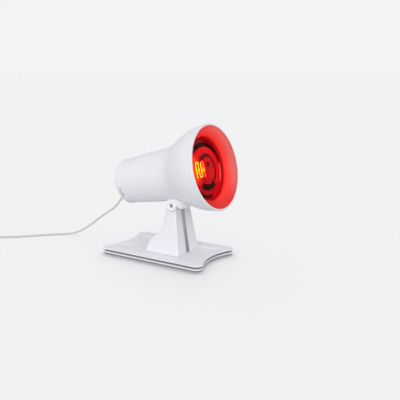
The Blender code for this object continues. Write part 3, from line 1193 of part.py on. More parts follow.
def box_shift():
    """How far the base's middle lies behind the middle of the lamp's own box."""
    front = BASE_HALF_LENGTH
    for depth, radius in ((BEZEL_ROLL / 4, BEZEL_RADIUS - BEZEL_ROLL / 2), (BEZEL_ROLL, BEZEL_RADIUS),
                          (0.0, BEZEL_RADIUS - BEZEL_ROLL * 2)):
        front = max(front, -head_to_base(on_head(depth, 0.0, -radius)).y)
    return (front - BASE_HALF_LENGTH) / 2


def main():
    remove_everything()
    paint = {
        "white": make_material("white_plastic", (0.83, 0.84, 0.87), 0.32),
        "grey": make_material("grey_plastic", (0.36, 0.36, 0.38), 0.5),
        "dark": make_material("dark_plastic", (0.06, 0.06, 0.07), 0.4),
        "coral": make_material("lit_reflector_ring", (0.86, 0.10, 0.07), 0.35),
        "red_glass": make_material("red_glass", (0.55, 0.01, 0.01), 0.08, transmission=0.6),
        "clear_glass": make_material("clear_glass", (0.9, 0.9, 0.9), 0.05, transmission=0.9),
        "mirror": make_material("red_mirror", (0.7, 0.05, 0.04), 0.15, metallic=1.0),
        "aluminium": make_material("aluminium", (0.75, 0.75, 0.76), 0.4, metallic=1.0),
        "steel": make_material("zinc_steel", (0.6, 0.6, 0.62), 0.35, metallic=1.0),
        "cast": make_material("cast_alloy", (0.55, 0.55, 0.57), 0.5, metallic=1.0),
        "brass": make_material("cap_brass", (0.8, 0.65, 0.35), 0.35, metallic=1.0),
        "ceramic": make_material("ceramic", (0.85, 0.82, 0.76), 0.5),
        "fibre": make_material("fibre_washer", (0.35, 0.2, 0.12), 0.7),
        "filament": make_material("tungsten", (1.0, 0.75, 0.25), 0.5),
        "rubber": make_material("foot_rubber", (0.2, 0.2, 0.21), 0.8),
        "cord": make_material("cord_sheath", (0.80, 0.80, 0.82), 0.45),
    }
    base_frame = add_empty("base_frame", (0.0, box_shift(), 0.0))
    saddle_frame = add_empty("saddle_frame", PIVOT, parent=base_frame)
    head_frame = add_empty("head_frame", PIVOT, -REST_TILT, base_frame)
    rocker_place = on_head(CAP_END - ROCKER_AXIS_DEPTH, 0.0, SWITCH_ABOVE)
    rocker_frame = add_empty("rocker_frame", rocker_place, ROCKER_HALF_THROW, head_frame)
    build_base(base_frame, paint)
    build_post(base_frame, paint)
    build_hinge_bracket(base_frame, paint)
    build_housing(head_frame, paint)
    cap = build_rear_cap(head_frame, paint)
    build_switch(head_frame, rocker_frame, cap, paint)
    build_holder(head_frame, paint)
    build_bulb(head_frame, paint)
    build_saddle(saddle_frame, head_frame, paint)
    build_relief(head_frame, paint)
    build_lead(base_frame, paint)


main()
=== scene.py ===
# %% [markdown]
# # An infrared heat lamp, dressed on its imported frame
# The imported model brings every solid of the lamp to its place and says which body
# carries it. This lesson keeps those solids as the frame, and builds the surfaces that
# the eye meets on top of them, each in the same metres and the same axes.

# %% Load the frame
import math

import bmesh
import bpy
import numpy as np
from mathutils import Matrix, Vector


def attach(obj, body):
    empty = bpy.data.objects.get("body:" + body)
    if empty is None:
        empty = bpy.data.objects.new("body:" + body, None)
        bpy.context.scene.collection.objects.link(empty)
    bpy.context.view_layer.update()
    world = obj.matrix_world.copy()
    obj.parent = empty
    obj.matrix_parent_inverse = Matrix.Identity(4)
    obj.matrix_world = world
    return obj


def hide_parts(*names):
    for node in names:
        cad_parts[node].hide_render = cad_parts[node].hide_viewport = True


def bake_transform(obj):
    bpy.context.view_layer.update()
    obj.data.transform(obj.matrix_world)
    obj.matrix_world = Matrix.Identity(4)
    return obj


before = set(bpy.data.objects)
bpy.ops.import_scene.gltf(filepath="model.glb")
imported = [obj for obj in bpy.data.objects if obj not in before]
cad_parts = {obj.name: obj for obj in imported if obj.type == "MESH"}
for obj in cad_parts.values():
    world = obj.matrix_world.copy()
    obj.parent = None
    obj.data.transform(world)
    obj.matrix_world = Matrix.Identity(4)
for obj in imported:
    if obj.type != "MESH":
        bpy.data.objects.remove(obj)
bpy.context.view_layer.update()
MM = 0.001

# %% [markdown]
# ## The camera
# The photograph looks at the lamp from its front left, a little from above. The camera
# is set from a bearing and a height angle. Its back vector points from the lamp to the
# lens, and the other two axes follow from it and from the upright direction.

# %% Camera
BASE_SHIFT = 6.861276 * MM
CAMERA_PLACE = (-919.31 * MM, -641.04 * MM + BASE_SHIFT, 364.71 * MM)
BEARING, HEIGHT_ANGLE = math.radians(-58.46), math.radians(12.82)
FOCAL_MM, SENSOR_MM = 51.46, 36


def add_camera(place, bearing, height_angle):
    back = Vector((math.sin(bearing) * math.cos(height_angle),
                   -math.cos(bearing) * math.cos(height_angle), math.sin(height_angle)))
    right = Vector((0, 0, 1)).cross(back).normalized()
    up = back.cross(right)
    lens = bpy.data.cameras.new("view_of_the_lamp")
    lens.lens, lens.sensor_width = FOCAL_MM, SENSOR_MM
    camera = bpy.data.objects.new("view_of_the_lamp", lens)
    turn = Matrix((right, up, back)).transposed().to_4x4()
    camera.matrix_world = Matrix.Translation(place) @ turn
    bpy.context.collection.objects.link(camera)
    bpy.context.scene.camera = camera


add_camera(CAMERA_PLACE, BEARING, HEIGHT_ANGLE)
bpy.context.scene.view_settings.view_transform = "Standard"
print("camera set at", tuple(round(v, 3) for v in bpy.context.scene.camera.location))

# %% [markdown]
# ## Surfaces from arrays
# Every form here is a grid of points: one parameter runs round a section, the other
# along the piece. A profile of straight steps gets its moulded edges from `soften`,
# which swaps each corner for a short curve, and a few measured points become a flowing
# line with `flow`. `circles`, `rectangles` and `at_heights` make the rings that most
# pieces are built from. All of them work on whole arrays.

# %% Profiles and lines
MOST_OF_A_SIDE = 0.48


def unit(v):
    return v / np.maximum(np.linalg.norm(v, axis=-1, keepdims=True), 1e-12)


def soften(corners, radii, steps=5):
    """Closed polygon(s) with rounded corners, shape (..., n, 2).

    At a corner P the curve starts a radius back along one side and ends a radius on
    along the other: (1-t)^2 A + 2t(1-t) P + t^2 B. A short side limits the radius.
    """
    p = np.asarray(corners, float)
    before, after = np.roll(p, 1, -2) - p, np.roll(p, -1, -2) - p
    shorter = np.minimum(np.linalg.norm(before, axis=-1), np.linalg.norm(after, axis=-1))
    room = shorter * MOST_OF_A_SIDE
    r = np.minimum(np.broadcast_to(np.asarray(radii, float), room.shape), room)[..., None]
    a, b = p + unit(before) * r, p + unit(after) * r
    t = np.linspace(0, 1, steps)[:, None]
    curve = ((1 - t) ** 2 * a[..., None, :] + 2 * t * (1 - t) * p[..., None, :]
             + t ** 2 * b[..., None, :])
    return curve.reshape(p.shape[:-2] + (-1, 2))


def flow(points, per_step=6, knots=None):
    """A smooth line through points.

    Each stretch is a cubic whose end slopes follow the neighbouring points.
    """
    p = np.asarray(points, float)
    k = np.arange(len(p), dtype=float) if knots is None else np.asarray(knots, float)
    slope = np.gradient(p, k, axis=0)
    t = np.linspace(0, 1, per_step, endpoint=False)[None, :, None]
    h = np.diff(k)[:, None, None]
    a, b = p[:-1, None], p[1:, None]
    m, n = slope[:-1, None] * h, slope[1:, None] * h
    line = ((2 * t ** 3 - 3 * t ** 2 + 1) * a + (t ** 3 - 2 * t ** 2 + t) * m
            + (3 * t ** 2 - 2 * t ** 3) * b + (t ** 3 - t ** 2) * n)
    return np.vstack([line.reshape(-1, p.shape[1]), p[-1:]])


def shrink(profile, wall):
    """A profile of (distance, radius) moved in square to itself by a wall."""
    run = unit(np.gradient(profile, axis=0))
    return profile + wall * np.stack([run[:, 1], -run[:, 0]], 1)


print("a line through 3 points gets", len(flow([(0, 0), (1, 1), (2, 0)])), "points")

# %% Rings and rectangles
SQUARE = np.array([(-1, -1), (1, -1), (1, 1), (-1, 1)])


def circles(centres, radii, u, v, sides):
    """A ring round each centre: centre + radius (u cos + v sin)."""
    angle = np.linspace(0, math.tau, sides, endpoint=False)[:, None]
    ring = u * np.cos(angle) + v * np.sin(angle)
    return centres[:, None] + radii[:, None, None] * ring


def rectangles(half_x, half_y, corner, steps):
    """A rounded rectangle for each pair of half sizes."""
    halves = np.stack([half_x, half_y], -1)
    return soften(SQUARE * halves[:, None], corner, steps)


def at_heights(outlines, heights):
    """Flat outlines (n, m, 2), each with its own height as the third coordinate."""
    third = np.broadcast_to(np.asarray(heights)[:, None], outlines.shape[:2])
    return np.dstack([outlines, third])


print("a rounded square has", rectangles([1], [1], 0.2, 5).shape[1], "points")

# %% [markdown]
# ## From a grid to a piece
# `skin` numbers the quads of a grid, open or closed on itself. `mesh_object` puts points
# and faces into a mesh, merges doubled points, turns the normals out and marks the crisp
# edges. `carve` cuts other solids out of a piece, and `hand_over` gives a finished piece
# to the body that carries it.

# %% Grids and meshes
SAME_POINT = 0.002 * MM
CRISP_FROM = 35.0


def skin(rows, cols, close_rows=False):
    """Quads between neighbouring rows, with each row closed on itself."""
    starts = np.arange(rows if close_rows else rows - 1)
    r, c = np.meshgrid(starts, np.arange(cols), indexing="ij")
    r2, c2 = (r + 1) % rows, (c + 1) % cols
    quads = np.stack([r * cols + c, r * cols + c2, r2 * cols + c2, r2 * cols + c], -1)
    return quads.reshape(-1, 4)


def mesh_object(name, points, quads, caps=()):
    mesh = bpy.data.meshes.new(name)
    faces = [tuple(face) for face in [*np.asarray(quads).tolist(), *map(np.ndarray.tolist, caps)]]
    mesh.from_pydata(np.asarray(points, float).reshape(-1, 3).tolist(), [], faces)
    work = bmesh.new()
    work.from_mesh(mesh)
    bmesh.ops.remove_doubles(work, verts=work.verts, dist=SAME_POINT)
    bmesh.ops.recalc_face_normals(work, faces=work.faces)
    work.to_mesh(mesh)
    work.free()
    mesh.shade_smooth()
    mesh.set_sharp_from_angle(angle=math.radians(CRISP_FROM))
    obj = bpy.data.objects.new(name, mesh)
    bpy.context.collection.objects.link(obj)
    return obj


def grid_object(name, rows, close_rows=False):
    """rows has the shape (along, round, 3); an open grid gets both ends capped."""
    n, m = rows.shape[:2]
    caps = () if close_rows else (np.arange(m), np.arange(m) + (n - 1) * m)
    return mesh_object(name, rows, skin(n, m, close_rows), caps)


print("a grid of 3 by 4 points has", len(skin(3, 4)), "quads")

# %% Cutting, finishing and handing over
BEVEL_FROM = 40.0


def settle(obj):
    """Bake the modifiers into the mesh, so that what is seen is what is kept."""
    bpy.context.view_layer.update()
    seen = obj.evaluated_get(bpy.context.evaluated_depsgraph_get())
    baked = bpy.data.meshes.new_from_object(seen)
    obj.modifiers.clear()
    obj.data = baked


def carve(obj, *cutters, operation="DIFFERENCE", edge=0.0):
    """Cut other solids out of a solid, then break its sharp edges by a small bevel."""
    for cutter in cutters:
        step = obj.modifiers.new("cut", "BOOLEAN")
        step.operation, step.solver, step.object = operation, "EXACT", cutter
    settle(obj)
    for cutter in cutters:
        bpy.data.objects.remove(cutter, do_unlink=True)
    if edge:
        step = obj.modifiers.new("edge", "BEVEL")
        step.width, step.segments, step.limit_method = edge, 2, "ANGLE"
        step.angle_limit, step.harden_normals = math.radians(BEVEL_FROM), True
        settle(obj)
    obj.data.shade_smooth()
    obj.data.set_sharp_from_angle(angle=math.radians(CRISP_FROM))


def hand_over(obj, body, material, *nodes):
    """Give a piece its material and its body, and say which solids it stands for.

    A piece that bends between two bodies is given no body here.
    """
    obj.data.materials.clear()
    obj.data.materials.append(material)
    if body:
        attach(obj, body)
    if nodes:
        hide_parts(*nodes)
    print(f"{obj.name} stands for {' '.join(nodes)}: {len(obj.data.polygons)} faces")
    return obj


def second_finish(obj, other, chosen):
    """Give some faces a second finish.

    `chosen` maps the faces' centres and normals to true or false.
    """
    faces = obj.data.polygons
    centres, normals = np.empty(len(faces) * 3), np.empty(len(faces) * 3)
    faces.foreach_get("center", centres)
    faces.foreach_get("normal", normals)
    obj.data.materials.append(other)
    picked = chosen(centres.reshape(-1, 3), normals.reshape(-1, 3))
    faces.foreach_set("material_index", picked.astype(np.int32))
    print(obj.name, "has", int(picked.sum()), "faces in", other.name)


# %% [markdown]
# ## The head's own frame
# The head looks up by 13 degrees. Its pieces are worked out along its axis: s is the
# distance behind the rim, r the distance from the axis. `head_to_world` then turns
# points about the tilt axis into the lamp's frame.

# %% Head frame and turned surfaces
REST_TILT = math.radians(13.0)
TILT_Y, TILT_Z = -26.8, 106.5
RIM_AHEAD, AXIS_ABOVE = 101.6 * MM, 59.2 * MM


def on_base(x, y, z):
    """A place in the lamp's frame, given in mm as the base was drawn."""
    return np.array([x, y, z]) * MM + (0, BASE_SHIFT, 0)


TILT_AXIS = on_base(0, TILT_Y, TILT_Z)


def head_to_world(points):
    """Turn about the tilt axis: y' = y cos + z sin, z' = z cos - y sin."""
    p = np.asarray(points, float)
    c, s = math.cos(REST_TILT), math.sin(REST_TILT)
    y, z = p[..., 1], p[..., 2]
    return np.stack([p[..., 0], y * c + z * s, z * c - y * s], -1) + TILT_AXIS


def on_head(s, x=0.0, z=0.0):
    """Places s behind the rim, x aside and z above the axis, before the tilt."""
    return np.stack(np.broadcast_arrays(x, s - RIM_AHEAD, AXIS_ABOVE + z), -1)


def from_axis(points):
    """The inverse: distance behind the rim, distance from the axis, and the way out from it."""
    p = points - TILT_AXIS
    c, s = math.cos(REST_TILT), math.sin(REST_TILT)
    y, z = p[:, 1] * c - p[:, 2] * s, p[:, 1] * s + p[:, 2] * c - AXIS_ABOVE
    out = np.stack([p[:, 0], z * s, z * c], 1)
    return y + RIM_AHEAD, np.hypot(p[:, 0], z), unit(out)


def turned(name, profile, sides, closed=True):
    """(s, r) round the head's axis: x = r cos, z = r sin, for every angle.

    A profile that isn't closed starts and ends close to the axis, with flat ends.
    """
    s, r = np.asarray(profile, float).T
    rows = circles(on_head(s), r, np.array([1.0, 0, 0]), np.array([0, 0, 1.0]), sides)
    return grid_object(name, head_to_world(rows), closed)


print("the rim's middle is at", head_to_world(on_head(0.0)).round(4))

# %% [markdown]
# ## Shared effects
# Moulded plastic, cast metal and glass all show very fine grain and faint unevenness.
# These are node groups with named sockets, so that one effect serves many finishes,
# each with its own scale. They read Object coordinates.
# `wire` adds any node, and the small helpers after it name the steps used most.

# %% Joining nodes
def wire(tree, kind, values=None, **inputs):
    """Add a node, set its properties, and join or set its inputs.

    An input is given by its name, or by the letter i and its number.
    """
    node = tree.nodes.new(kind)
    for key, value in (values or {}).items():
        setattr(node, key, value)
    for key, value in inputs.items():
        numbered = key[0] == "i" and key[1:].isdigit()
        socket = node.inputs[int(key[1:]) if numbered else key.replace("_", " ")]
        if isinstance(value, bpy.types.NodeSocket):
            tree.links.new(value, socket)
        else:
            socket.default_value = value
    return node


def calculated(tree, operation, *values):
    """One step of arithmetic on numbers or sockets."""
    inputs = {f"i{at}": value for at, value in enumerate(values)}
    return wire(tree, "ShaderNodeMath", {"operation": operation}, **inputs).outputs[0]


def on_vectors(tree, operation, *values, out="Vector"):
    inputs = {f"i{at}": value for at, value in enumerate(values)}
    return wire(tree, "ShaderNodeVectorMath", {"operation": operation}, **inputs).outputs[out]


def mapped(tree, value, start, end, low=0.0, high=1.0, course="LINEAR"):
    """What runs from start to end becomes low to high, and stays there outside."""
    return wire(tree, "ShaderNodeMapRange", {"interpolation_type": course}, Value=value,
                From_Min=start, From_Max=end, To_Min=low, To_Max=high).outputs[0]


def blended(tree, share, under, over):
    """A colour between two: under where the share is 0, over where it is 1."""
    return wire(tree, "ShaderNodeMix", {"data_type": "RGBA"}, Factor=share, i6=under,
                i7=over).outputs[2]


def object_place(tree):
    return wire(tree, "ShaderNodeTexCoord").outputs["Object"]


def part(tree, vector, axis):
    return wire(tree, "ShaderNodeSeparateXYZ", Vector=vector).outputs[axis]


def noise(tree, place, scale, detail, roughness=0.5):
    return wire(tree, "ShaderNodeTexNoise", Vector=place, Scale=scale, Detail=detail,
                Roughness=roughness).outputs["Fac"]


print("node helpers made:", wire.__name__, mapped.__name__, blended.__name__)


# %% Node groups
COARSE_SHARE = 0.35
NEARLY_FLAT = 0.6
PATCHES = (55.0, 6.0, 0.7)


def new_group(name, inputs, outputs):
    """A group with number sockets: inputs have a default each, outputs only a name."""
    group = bpy.data.node_groups.new(name, "ShaderNodeTree")
    for label, value in inputs.items():
        socket = group.interface.new_socket(label, in_out="INPUT", socket_type="NodeSocketFloat")
        socket.default_value = value
    for label in outputs:
        group.interface.new_socket(label, in_out="OUTPUT", socket_type="NodeSocketFloat")
    return group, group.nodes.new("NodeGroupInput"), group.nodes.new("NodeGroupOutput")


def grain_group():
    """Height = fine noise + a little of a coarser one. Tone = slow noise, 0 to 1."""
    group, inside, out = new_group("moulded_grain", {"Scale": 900.0, "Coarse": 14.0},
                                   ["Height", "Tone"])
    at = object_place(group)
    fine = noise(group, at, inside.outputs["Scale"], 3.0)
    slow = noise(group, at, inside.outputs["Coarse"], 2.0)
    height = calculated(group, "MULTIPLY_ADD", slow, COARSE_SHARE, fine)
    group.links.new(height, out.inputs["Height"])
    group.links.new(slow, out.inputs["Tone"])
    return group


def dust_group():
    """Mask = upward facing share x patchy noise, for the dust that settles on flat tops."""
    group, inside, out = new_group("settled_dust", {"Amount": 0.3}, ["Mask"])
    normal = wire(group, "ShaderNodeNewGeometry").outputs["Normal"]
    facing = mapped(group, part(group, normal, "Z"), NEARLY_FLAT, 1.0)
    mask = calculated(group, "MULTIPLY", facing, noise(group, object_place(group), *PATCHES))
    amount = calculated(group, "MULTIPLY", mask, inside.outputs["Amount"])
    group.links.new(amount, out.inputs["Mask"])
    return group


GRAIN, DUST = grain_group(), dust_group()
print("shared effects:", GRAIN.name, DUST.name)

# %% [markdown]
# ## Finishes
# `finish` starts each material with a Principled shader and the moulded grain. Colours
# are given as they look on screen, and are turned into linear light here. The tone of
# the colour and the roughness wander a little over the surface, as real paint and
# plastic do. A number that is the same all over is set on the shader's own socket.

# %% Material helpers
DUST_COLOUR = (208, 204, 198)
GRAIN_DEPTH = 0.2 * MM


def linear(*screen):
    """Screen values 0-255 to linear light, by the sRGB curve."""
    c = np.array(screen, float) / 255
    return tuple(np.where(c <= 0.04045, c / 12.92, ((c + 0.055) / 1.055) ** 2.4)) + (1.0,)


def new_material(name, slot=None, **plain):
    """`slot` is the record's slot, `plain` the shader's own values."""
    material = bpy.data.materials.new(name)
    material.use_nodes = True
    if slot:
        material["record_slot"] = slot
    shader = material.node_tree.nodes["Principled BSDF"]
    for key, value in plain.items():
        shader.inputs[key.replace("_", " ")].default_value = value
    return material, material.node_tree, shader


def add_grain(tree, shader, rough, depth, scale=900.0, coarse=14.0):
    """Join the grain as fine relief and as a wandering roughness, and return its slow tone."""
    grain = wire(tree, "ShaderNodeGroup", {"node_tree": GRAIN}, Scale=scale, Coarse=coarse)
    matt = mapped(tree, grain.outputs["Tone"], 0.0, 1.0, *rough)
    tree.links.new(matt, shader.inputs["Roughness"])
    relief = wire(tree, "ShaderNodeBump", Height=grain.outputs["Height"], Distance=GRAIN_DEPTH,
                  Strength=depth)
    tree.links.new(relief.outputs[0], shader.inputs["Normal"])
    return grain.outputs["Tone"]


def finish(name, slot, screen, rough=(0.3, 0.4), depth=0.02, spread=0.03, dust=0.0,
           scale=900.0, **plain):
    """A grained material, with dust on its flat tops if wanted."""
    material, tree, shader = new_material(name, slot, **plain)
    tone = add_grain(tree, shader, rough, depth, scale)
    low, high = (linear(*[min(255, v * f) for v in screen]) for f in (1 - spread, 1 + spread))
    colour = blended(tree, tone, low, high)
    if dust:
        settled = wire(tree, "ShaderNodeGroup", {"node_tree": DUST}, Amount=dust)
        colour = blended(tree, settled.outputs["Mask"], colour, linear(*DUST_COLOUR))
    tree.links.new(colour, shader.inputs["Base Color"])
    return material


print("mid grey in linear light:", round(float(linear(128)[0]), 3))

# %% [markdown]
# The shell is white gloss plastic, a little blue in the shade, and the post and the cap
# are of the same. The hinge lug's copy of it is painted lighter, as painted light. The base
# is more matt and collects a trace of dust on its flat top, and the groove round it is
# painted darker as painted shade. The grey strip in the post's channel is a little
# lighter towards its top.

# %% Plastics
WHITE = finish("white_gloss_plastic", "white_plastic", (236, 237, 241), rough=(0.26, 0.36),
               depth=0.05, spread=0.006, Coat_Weight=0.15, Coat_Roughness=0.12)
# The hinge lug's copy of the white plastic is painted lighter: painted light on the lug.
LUG_PAINTED_LIGHTER = finish("white_plastic_painted_lighter", "white_plastic", (250, 251, 253), depth=0.05,
                   spread=0.005)
BASE_WHITE = finish("white_base_plastic", "white_plastic", (244, 245, 249), rough=(0.42, 0.54),
                    depth=0.08, spread=0.008, dust=0.12, Specular_IOR_Level=0.3)
# The groove's darker grey is painted shade in the groove round the base.
GROOVE_PAINTED_SHADE = finish("painted_groove_shade", "white_plastic", (124, 124, 131), rough=(0.6, 0.7),
                     depth=0.05, spread=0.02)
STRIP_GREY = finish("grey_strip_plastic", "grey_plastic", (160, 160, 165), rough=(0.45, 0.6),
                    depth=0.12, spread=0.04)
SWITCH_DARK = finish("dark_switch_plastic", "dark_plastic", (34, 34, 38), rough=(0.28, 0.4),
                     depth=0.15, spread=0.08, dust=0.1)
CORD_SHEATH = finish("cord_sheath", "cord_sheath", (204, 204, 208), rough=(0.42, 0.55),
                     depth=0.15, spread=0.02, scale=500.0)
RUBBER = finish("foot_rubber", "foot_rubber", (52, 52, 55), rough=(0.7, 0.85), depth=0.4,
                spread=0.12, scale=1400.0)


def lighter_upwards(material, heights, below, above):
    """Half of the colour follows the height, from one screen tone to another."""
    tree = material.node_tree
    colour = tree.nodes["Principled BSDF"].inputs["Base Color"]
    height = mapped(tree, part(tree, object_place(tree), "Z"), *heights)
    tone = blended(tree, height, linear(*below), linear(*above))
    tree.links.new(blended(tree, 0.5, tone, colour.links[0].from_socket), colour)


lighter_upwards(STRIP_GREY, (15 * MM, 90 * MM), (116, 116, 121), (206, 206, 211))
print("plastics made")

# %% [markdown]
# Metals differ by how they were made: screws are zinc plated, the hinge bracket is
# cast, the heat shield is rolled sheet, the bulb's cap is brass, and the holder is
# glazed ceramic. The washers in the hinge are pressed fibre.

# %% Metals, ceramic and fibre
STEEL = finish("zinc_plated_steel", "zinc_steel", (190, 192, 198), rough=(0.24, 0.38),
               depth=0.1, spread=0.05, scale=1600.0, Metallic=1.0)
CAST = finish("cast_alloy", "cast_alloy", (168, 169, 173), rough=(0.45, 0.62), depth=0.5,
              spread=0.06, scale=700.0, Metallic=1.0)
SHEET_METAL = finish("rolled_aluminium", "aluminium", (205, 206, 210), rough=(0.3, 0.45),
                     depth=0.12, scale=1200.0, Metallic=1.0)
BRASS = finish("screw_cap_brass", "cap_brass", (214, 178, 104), rough=(0.25, 0.4),
               depth=0.1, spread=0.06, scale=1500.0, Metallic=1.0)
CERAMIC = finish("glazed_ceramic", "ceramic", (232, 226, 212), rough=(0.14, 0.26), depth=0.06,
                 scale=400.0, Coat_Weight=0.3, Coat_Roughness=0.08)
FIBRE = finish("fibre_washer", "fibre_washer", (120, 84, 58), rough=(0.7, 0.85), depth=0.5,
               spread=0.15, scale=1800.0)
print("metals, ceramic and fibre made")

# %% [markdown]
# ## The lit bulb's colours
# The lamp is on in the photograph. The cone between rim and bulb is glossy and glows
# coral red from the bulb's light, the lens is clear red glass with pressed rings, and
# the bowl behind it is a mirror. A mirror in a dark head shows little, so the bowl and
# the filament carry their own light. All of these patterns lie round the head's axis,
# so the helpers first turn Object coordinates into the head's frame.

# %% Patterns round the head's axis
HEAD_CENTRE = head_to_world(on_head(0.0))


def head_coordinates(tree):
    """Object coordinates turned into the head's frame: y runs back from the rim."""
    moved = on_vectors(tree, "SUBTRACT", object_place(tree), tuple(HEAD_CENTRE))
    return wire(tree, "ShaderNodeVectorRotate", {"rotation_type": "EULER_XYZ"}, Vector=moved,
                Rotation=(REST_TILT, 0.0, 0.0)).outputs[0]


def flat_from(tree, place):
    """The part of a place that is square to the head's axis: (x, 0, z)."""
    return on_vectors(tree, "MULTIPLY", place, (1, 0, 1))


def radius_from(tree, place, centre=(0.0, 0.0)):
    """Distance from a line along y through a centre (x, z) in mm."""
    middle = (centre[0] * MM, 0, centre[1] * MM)
    return on_vectors(tree, "DISTANCE", flat_from(tree, place), middle, out="Value")


def ramp(tree, factor, *stops):
    """A colour ramp; each stop is its place and its screen colour."""
    node = wire(tree, "ShaderNodeValToRGB", Fac=factor)
    while len(node.color_ramp.elements) < len(stops):
        node.color_ramp.elements.new(0.5)
    for element, (place, screen) in zip(node.color_ramp.elements, stops):
        element.position, element.color = place, linear(*screen)
    return node.outputs["Color"]


def smooth_share(tree, value, start, end):
    """0 before the start, 1 after the end, eased between: t^2 (3 - 2t)."""
    return mapped(tree, value, start, end, course="SMOOTHSTEP")


def towards(tree, place, degrees, start, end):
    """A share that rises round the axis towards one side; degrees run from +x up to +z."""
    way = on_vectors(tree, "NORMALIZE", flat_from(tree, place))
    side = (math.cos(math.radians(degrees)), 0, math.sin(math.radians(degrees)))
    likeness = on_vectors(tree, "DOT_PRODUCT", way, side, out="Value")
    return smooth_share(tree, likeness, start, end)


def product(tree, value, *factors):
    for factor in factors:
        value = calculated(tree, "MULTIPLY", value, factor)
    return value


def glow(tree, shader, share, colour):
    """Light of its own: a share of a colour, at the plain strength of 1."""
    tree.links.new(blended(tree, share, (0, 0, 0, 1), colour), shader.inputs["Emission Color"])
    shader.inputs["Emission Strength"].default_value = 1.0


print("head frame for patterns set at", tuple(HEAD_CENTRE.round(4)))

# %% [markdown]
# The coral colour is the bulb's red light painted on the cone: it shines brightest next
# to the lens and on its upper side, where the bulb's light falls, and a painted sheen makes
# it paler near the rim on its +x side. The shell's inner wall takes the same painted red
# light round the bulb's front.

# %% Coral cone
# The coral tones and their glow are painted red light from the bulb; the pale share is a painted
# sheen.
RED_LIGHT_DEPTHS, SHEEN_RADII = (2 * MM, 21 * MM), (63 * MM, 78 * MM)
CORAL_RED_LIGHT = ((0.0, (238, 50, 44)), (0.8, (240, 54, 48)), (1.0, (226, 44, 40)))
PAINTED_SHEEN_CORAL, CORAL_LIGHT = (222, 146, 140), (205, 36, 30)
# Which way round the axis in degrees, and where the share starts and ends.
SHEEN_SIDE, UPPER_SIDE, INNER_SIDE = (22, 0.0, 0.85), (115, -0.4, 0.9), (-10, -0.2, 0.6)
SHEEN_MOST, UPPER_MOST, INNER_MOST = 0.56, 0.4, 0.45


def coral_finish():
    """Painted red light by depth behind the rim, with a painted sheen on the outer side and a
    painted glow.
    """
    material, tree, shader = new_material("glowing_coral_cone", "lit_reflector_ring",
                                          Specular_IOR_Level=0.25)
    add_grain(tree, shader, (0.38, 0.5), 0.05)
    place = head_coordinates(tree)
    by_lens = smooth_share(tree, part(tree, place, "Y"), *RED_LIGHT_DEPTHS)
    # The ramp's coral tones are painted red light from the bulb.
    surface = ramp(tree, by_lens, *CORAL_RED_LIGHT)
    outer = smooth_share(tree, radius_from(tree, place), *SHEEN_RADII)
    sheen = product(tree, towards(tree, place, *SHEEN_SIDE), outer, SHEEN_MOST)
    tree.links.new(blended(tree, sheen, surface, linear(*PAINTED_SHEEN_CORAL)), shader.inputs["Base Color"])
    upper = product(tree, towards(tree, place, *UPPER_SIDE), UPPER_MOST)
    inner = product(tree, towards(tree, place, *INNER_SIDE), by_lens, INNER_MOST)
    glow(tree, shader, calculated(tree, "MAXIMUM", upper, inner), linear(*CORAL_LIGHT))
    return material


CORAL = coral_finish()
# Painted red light and glow on the shell's inner wall round the bulb's front.
INSIDE_PAINTED_RED_LIGHT = finish("shell_inside_lit_red", "white_plastic", (120, 14, 16), rough=(0.5, 0.6),
                   spread=0.1, Emission_Color=linear(176, 10, 14), Emission_Strength=0.8)
print("coral and inner red made")

# %% [markdown]
# The lens is pressed red glass. Its rings are painted: smooth bands by distance from a centre,
# part pressed steps and part painted reflections of the bowl and the bulb's neck, some of them
# only on one side as painted light where the steps catch it. A dark ring lets less light
# through, a bright one glows. The filament stays visible between them, with a painted warm
# glow beside it, and a painted reflection of a lamp runs down the right as a thin streak.

# %% Red glass
BULB_R = 60.3 * MM
# Painted rings: the dark bands are painted reflections of the bowl and the bulb's neck.
# Centre (x, z), radius, half width and soft edge in mm; strength; side, or all round.
DARK_RINGS = (
    ((5, -3), 28.0, 1.4, 2.6, 0.85, (40, -0.7, 0.2)),
    ((0, 0), 36.0, 4.8, 2.2, 1.0, (-92, 0.7, 0.88)),
    ((1.5, -15.5), 62.0, 3.2, 2.8, 1.0, (66, 0.3, 0.6)),
    ((0, 0), 54.0, 2.5, 3.0, 0.9, (-112, 0.75, 0.95)),
    ((0, 0), 56.5, 3.5, 3.0, 0.55, (90, 0.2, 0.7)),
    ((0, 0), 46.0, 3.0, 3.0, 0.35, (-95, 0.5, 0.9)),
    ((6.5, 7.5), 0.0, 3.0, 5.5, 0.9, None))
# WARM_GLOW is a painted glow of the filament, and STREAK a painted reflection of a lamp.
DEEP_RED, MOTTLE_RED, WARM_GLOW, STREAK = (48, 0, 2), (150, 10, 14), (250, 96, 10), (255, 196, 186)
GLASS = ((0.0, (146, 12, 18)), (0.4, (198, 21, 27)), (0.55, (216, 26, 38)),
         (0.78, (200, 20, 28)), (1.0, (188, 12, 18)))
MOTTLE, MOTTLE_FROM, MOTTLE_MOST = (160.0, 2.0, 0.6), (0.5, 0.72), 0.35
WARM_BAND, WARM_SIDE, WARM_MOST = (31.0, 13.0, 12.0), (176, 0.72, 0.98), 0.85
STREAK_BAND, STREAK_SIDE = (55.5, 0.4, 0.8), (-15, 0.925, 0.985)
GLOW_RADII, GLOW_SHARES = (26 * MM, 36 * MM), (0.18, 0.5)


def band(tree, away, at, half, soft):
    """1 within half a width of a radius, easing to 0 outside it; all in mm."""
    off = calculated(tree, "ABSOLUTE", calculated(tree, "SUBTRACT", away, at * MM))
    beyond = smooth_share(tree, off, half * MM, (half + soft) * MM)
    return calculated(tree, "SUBTRACT", 1.0, beyond)


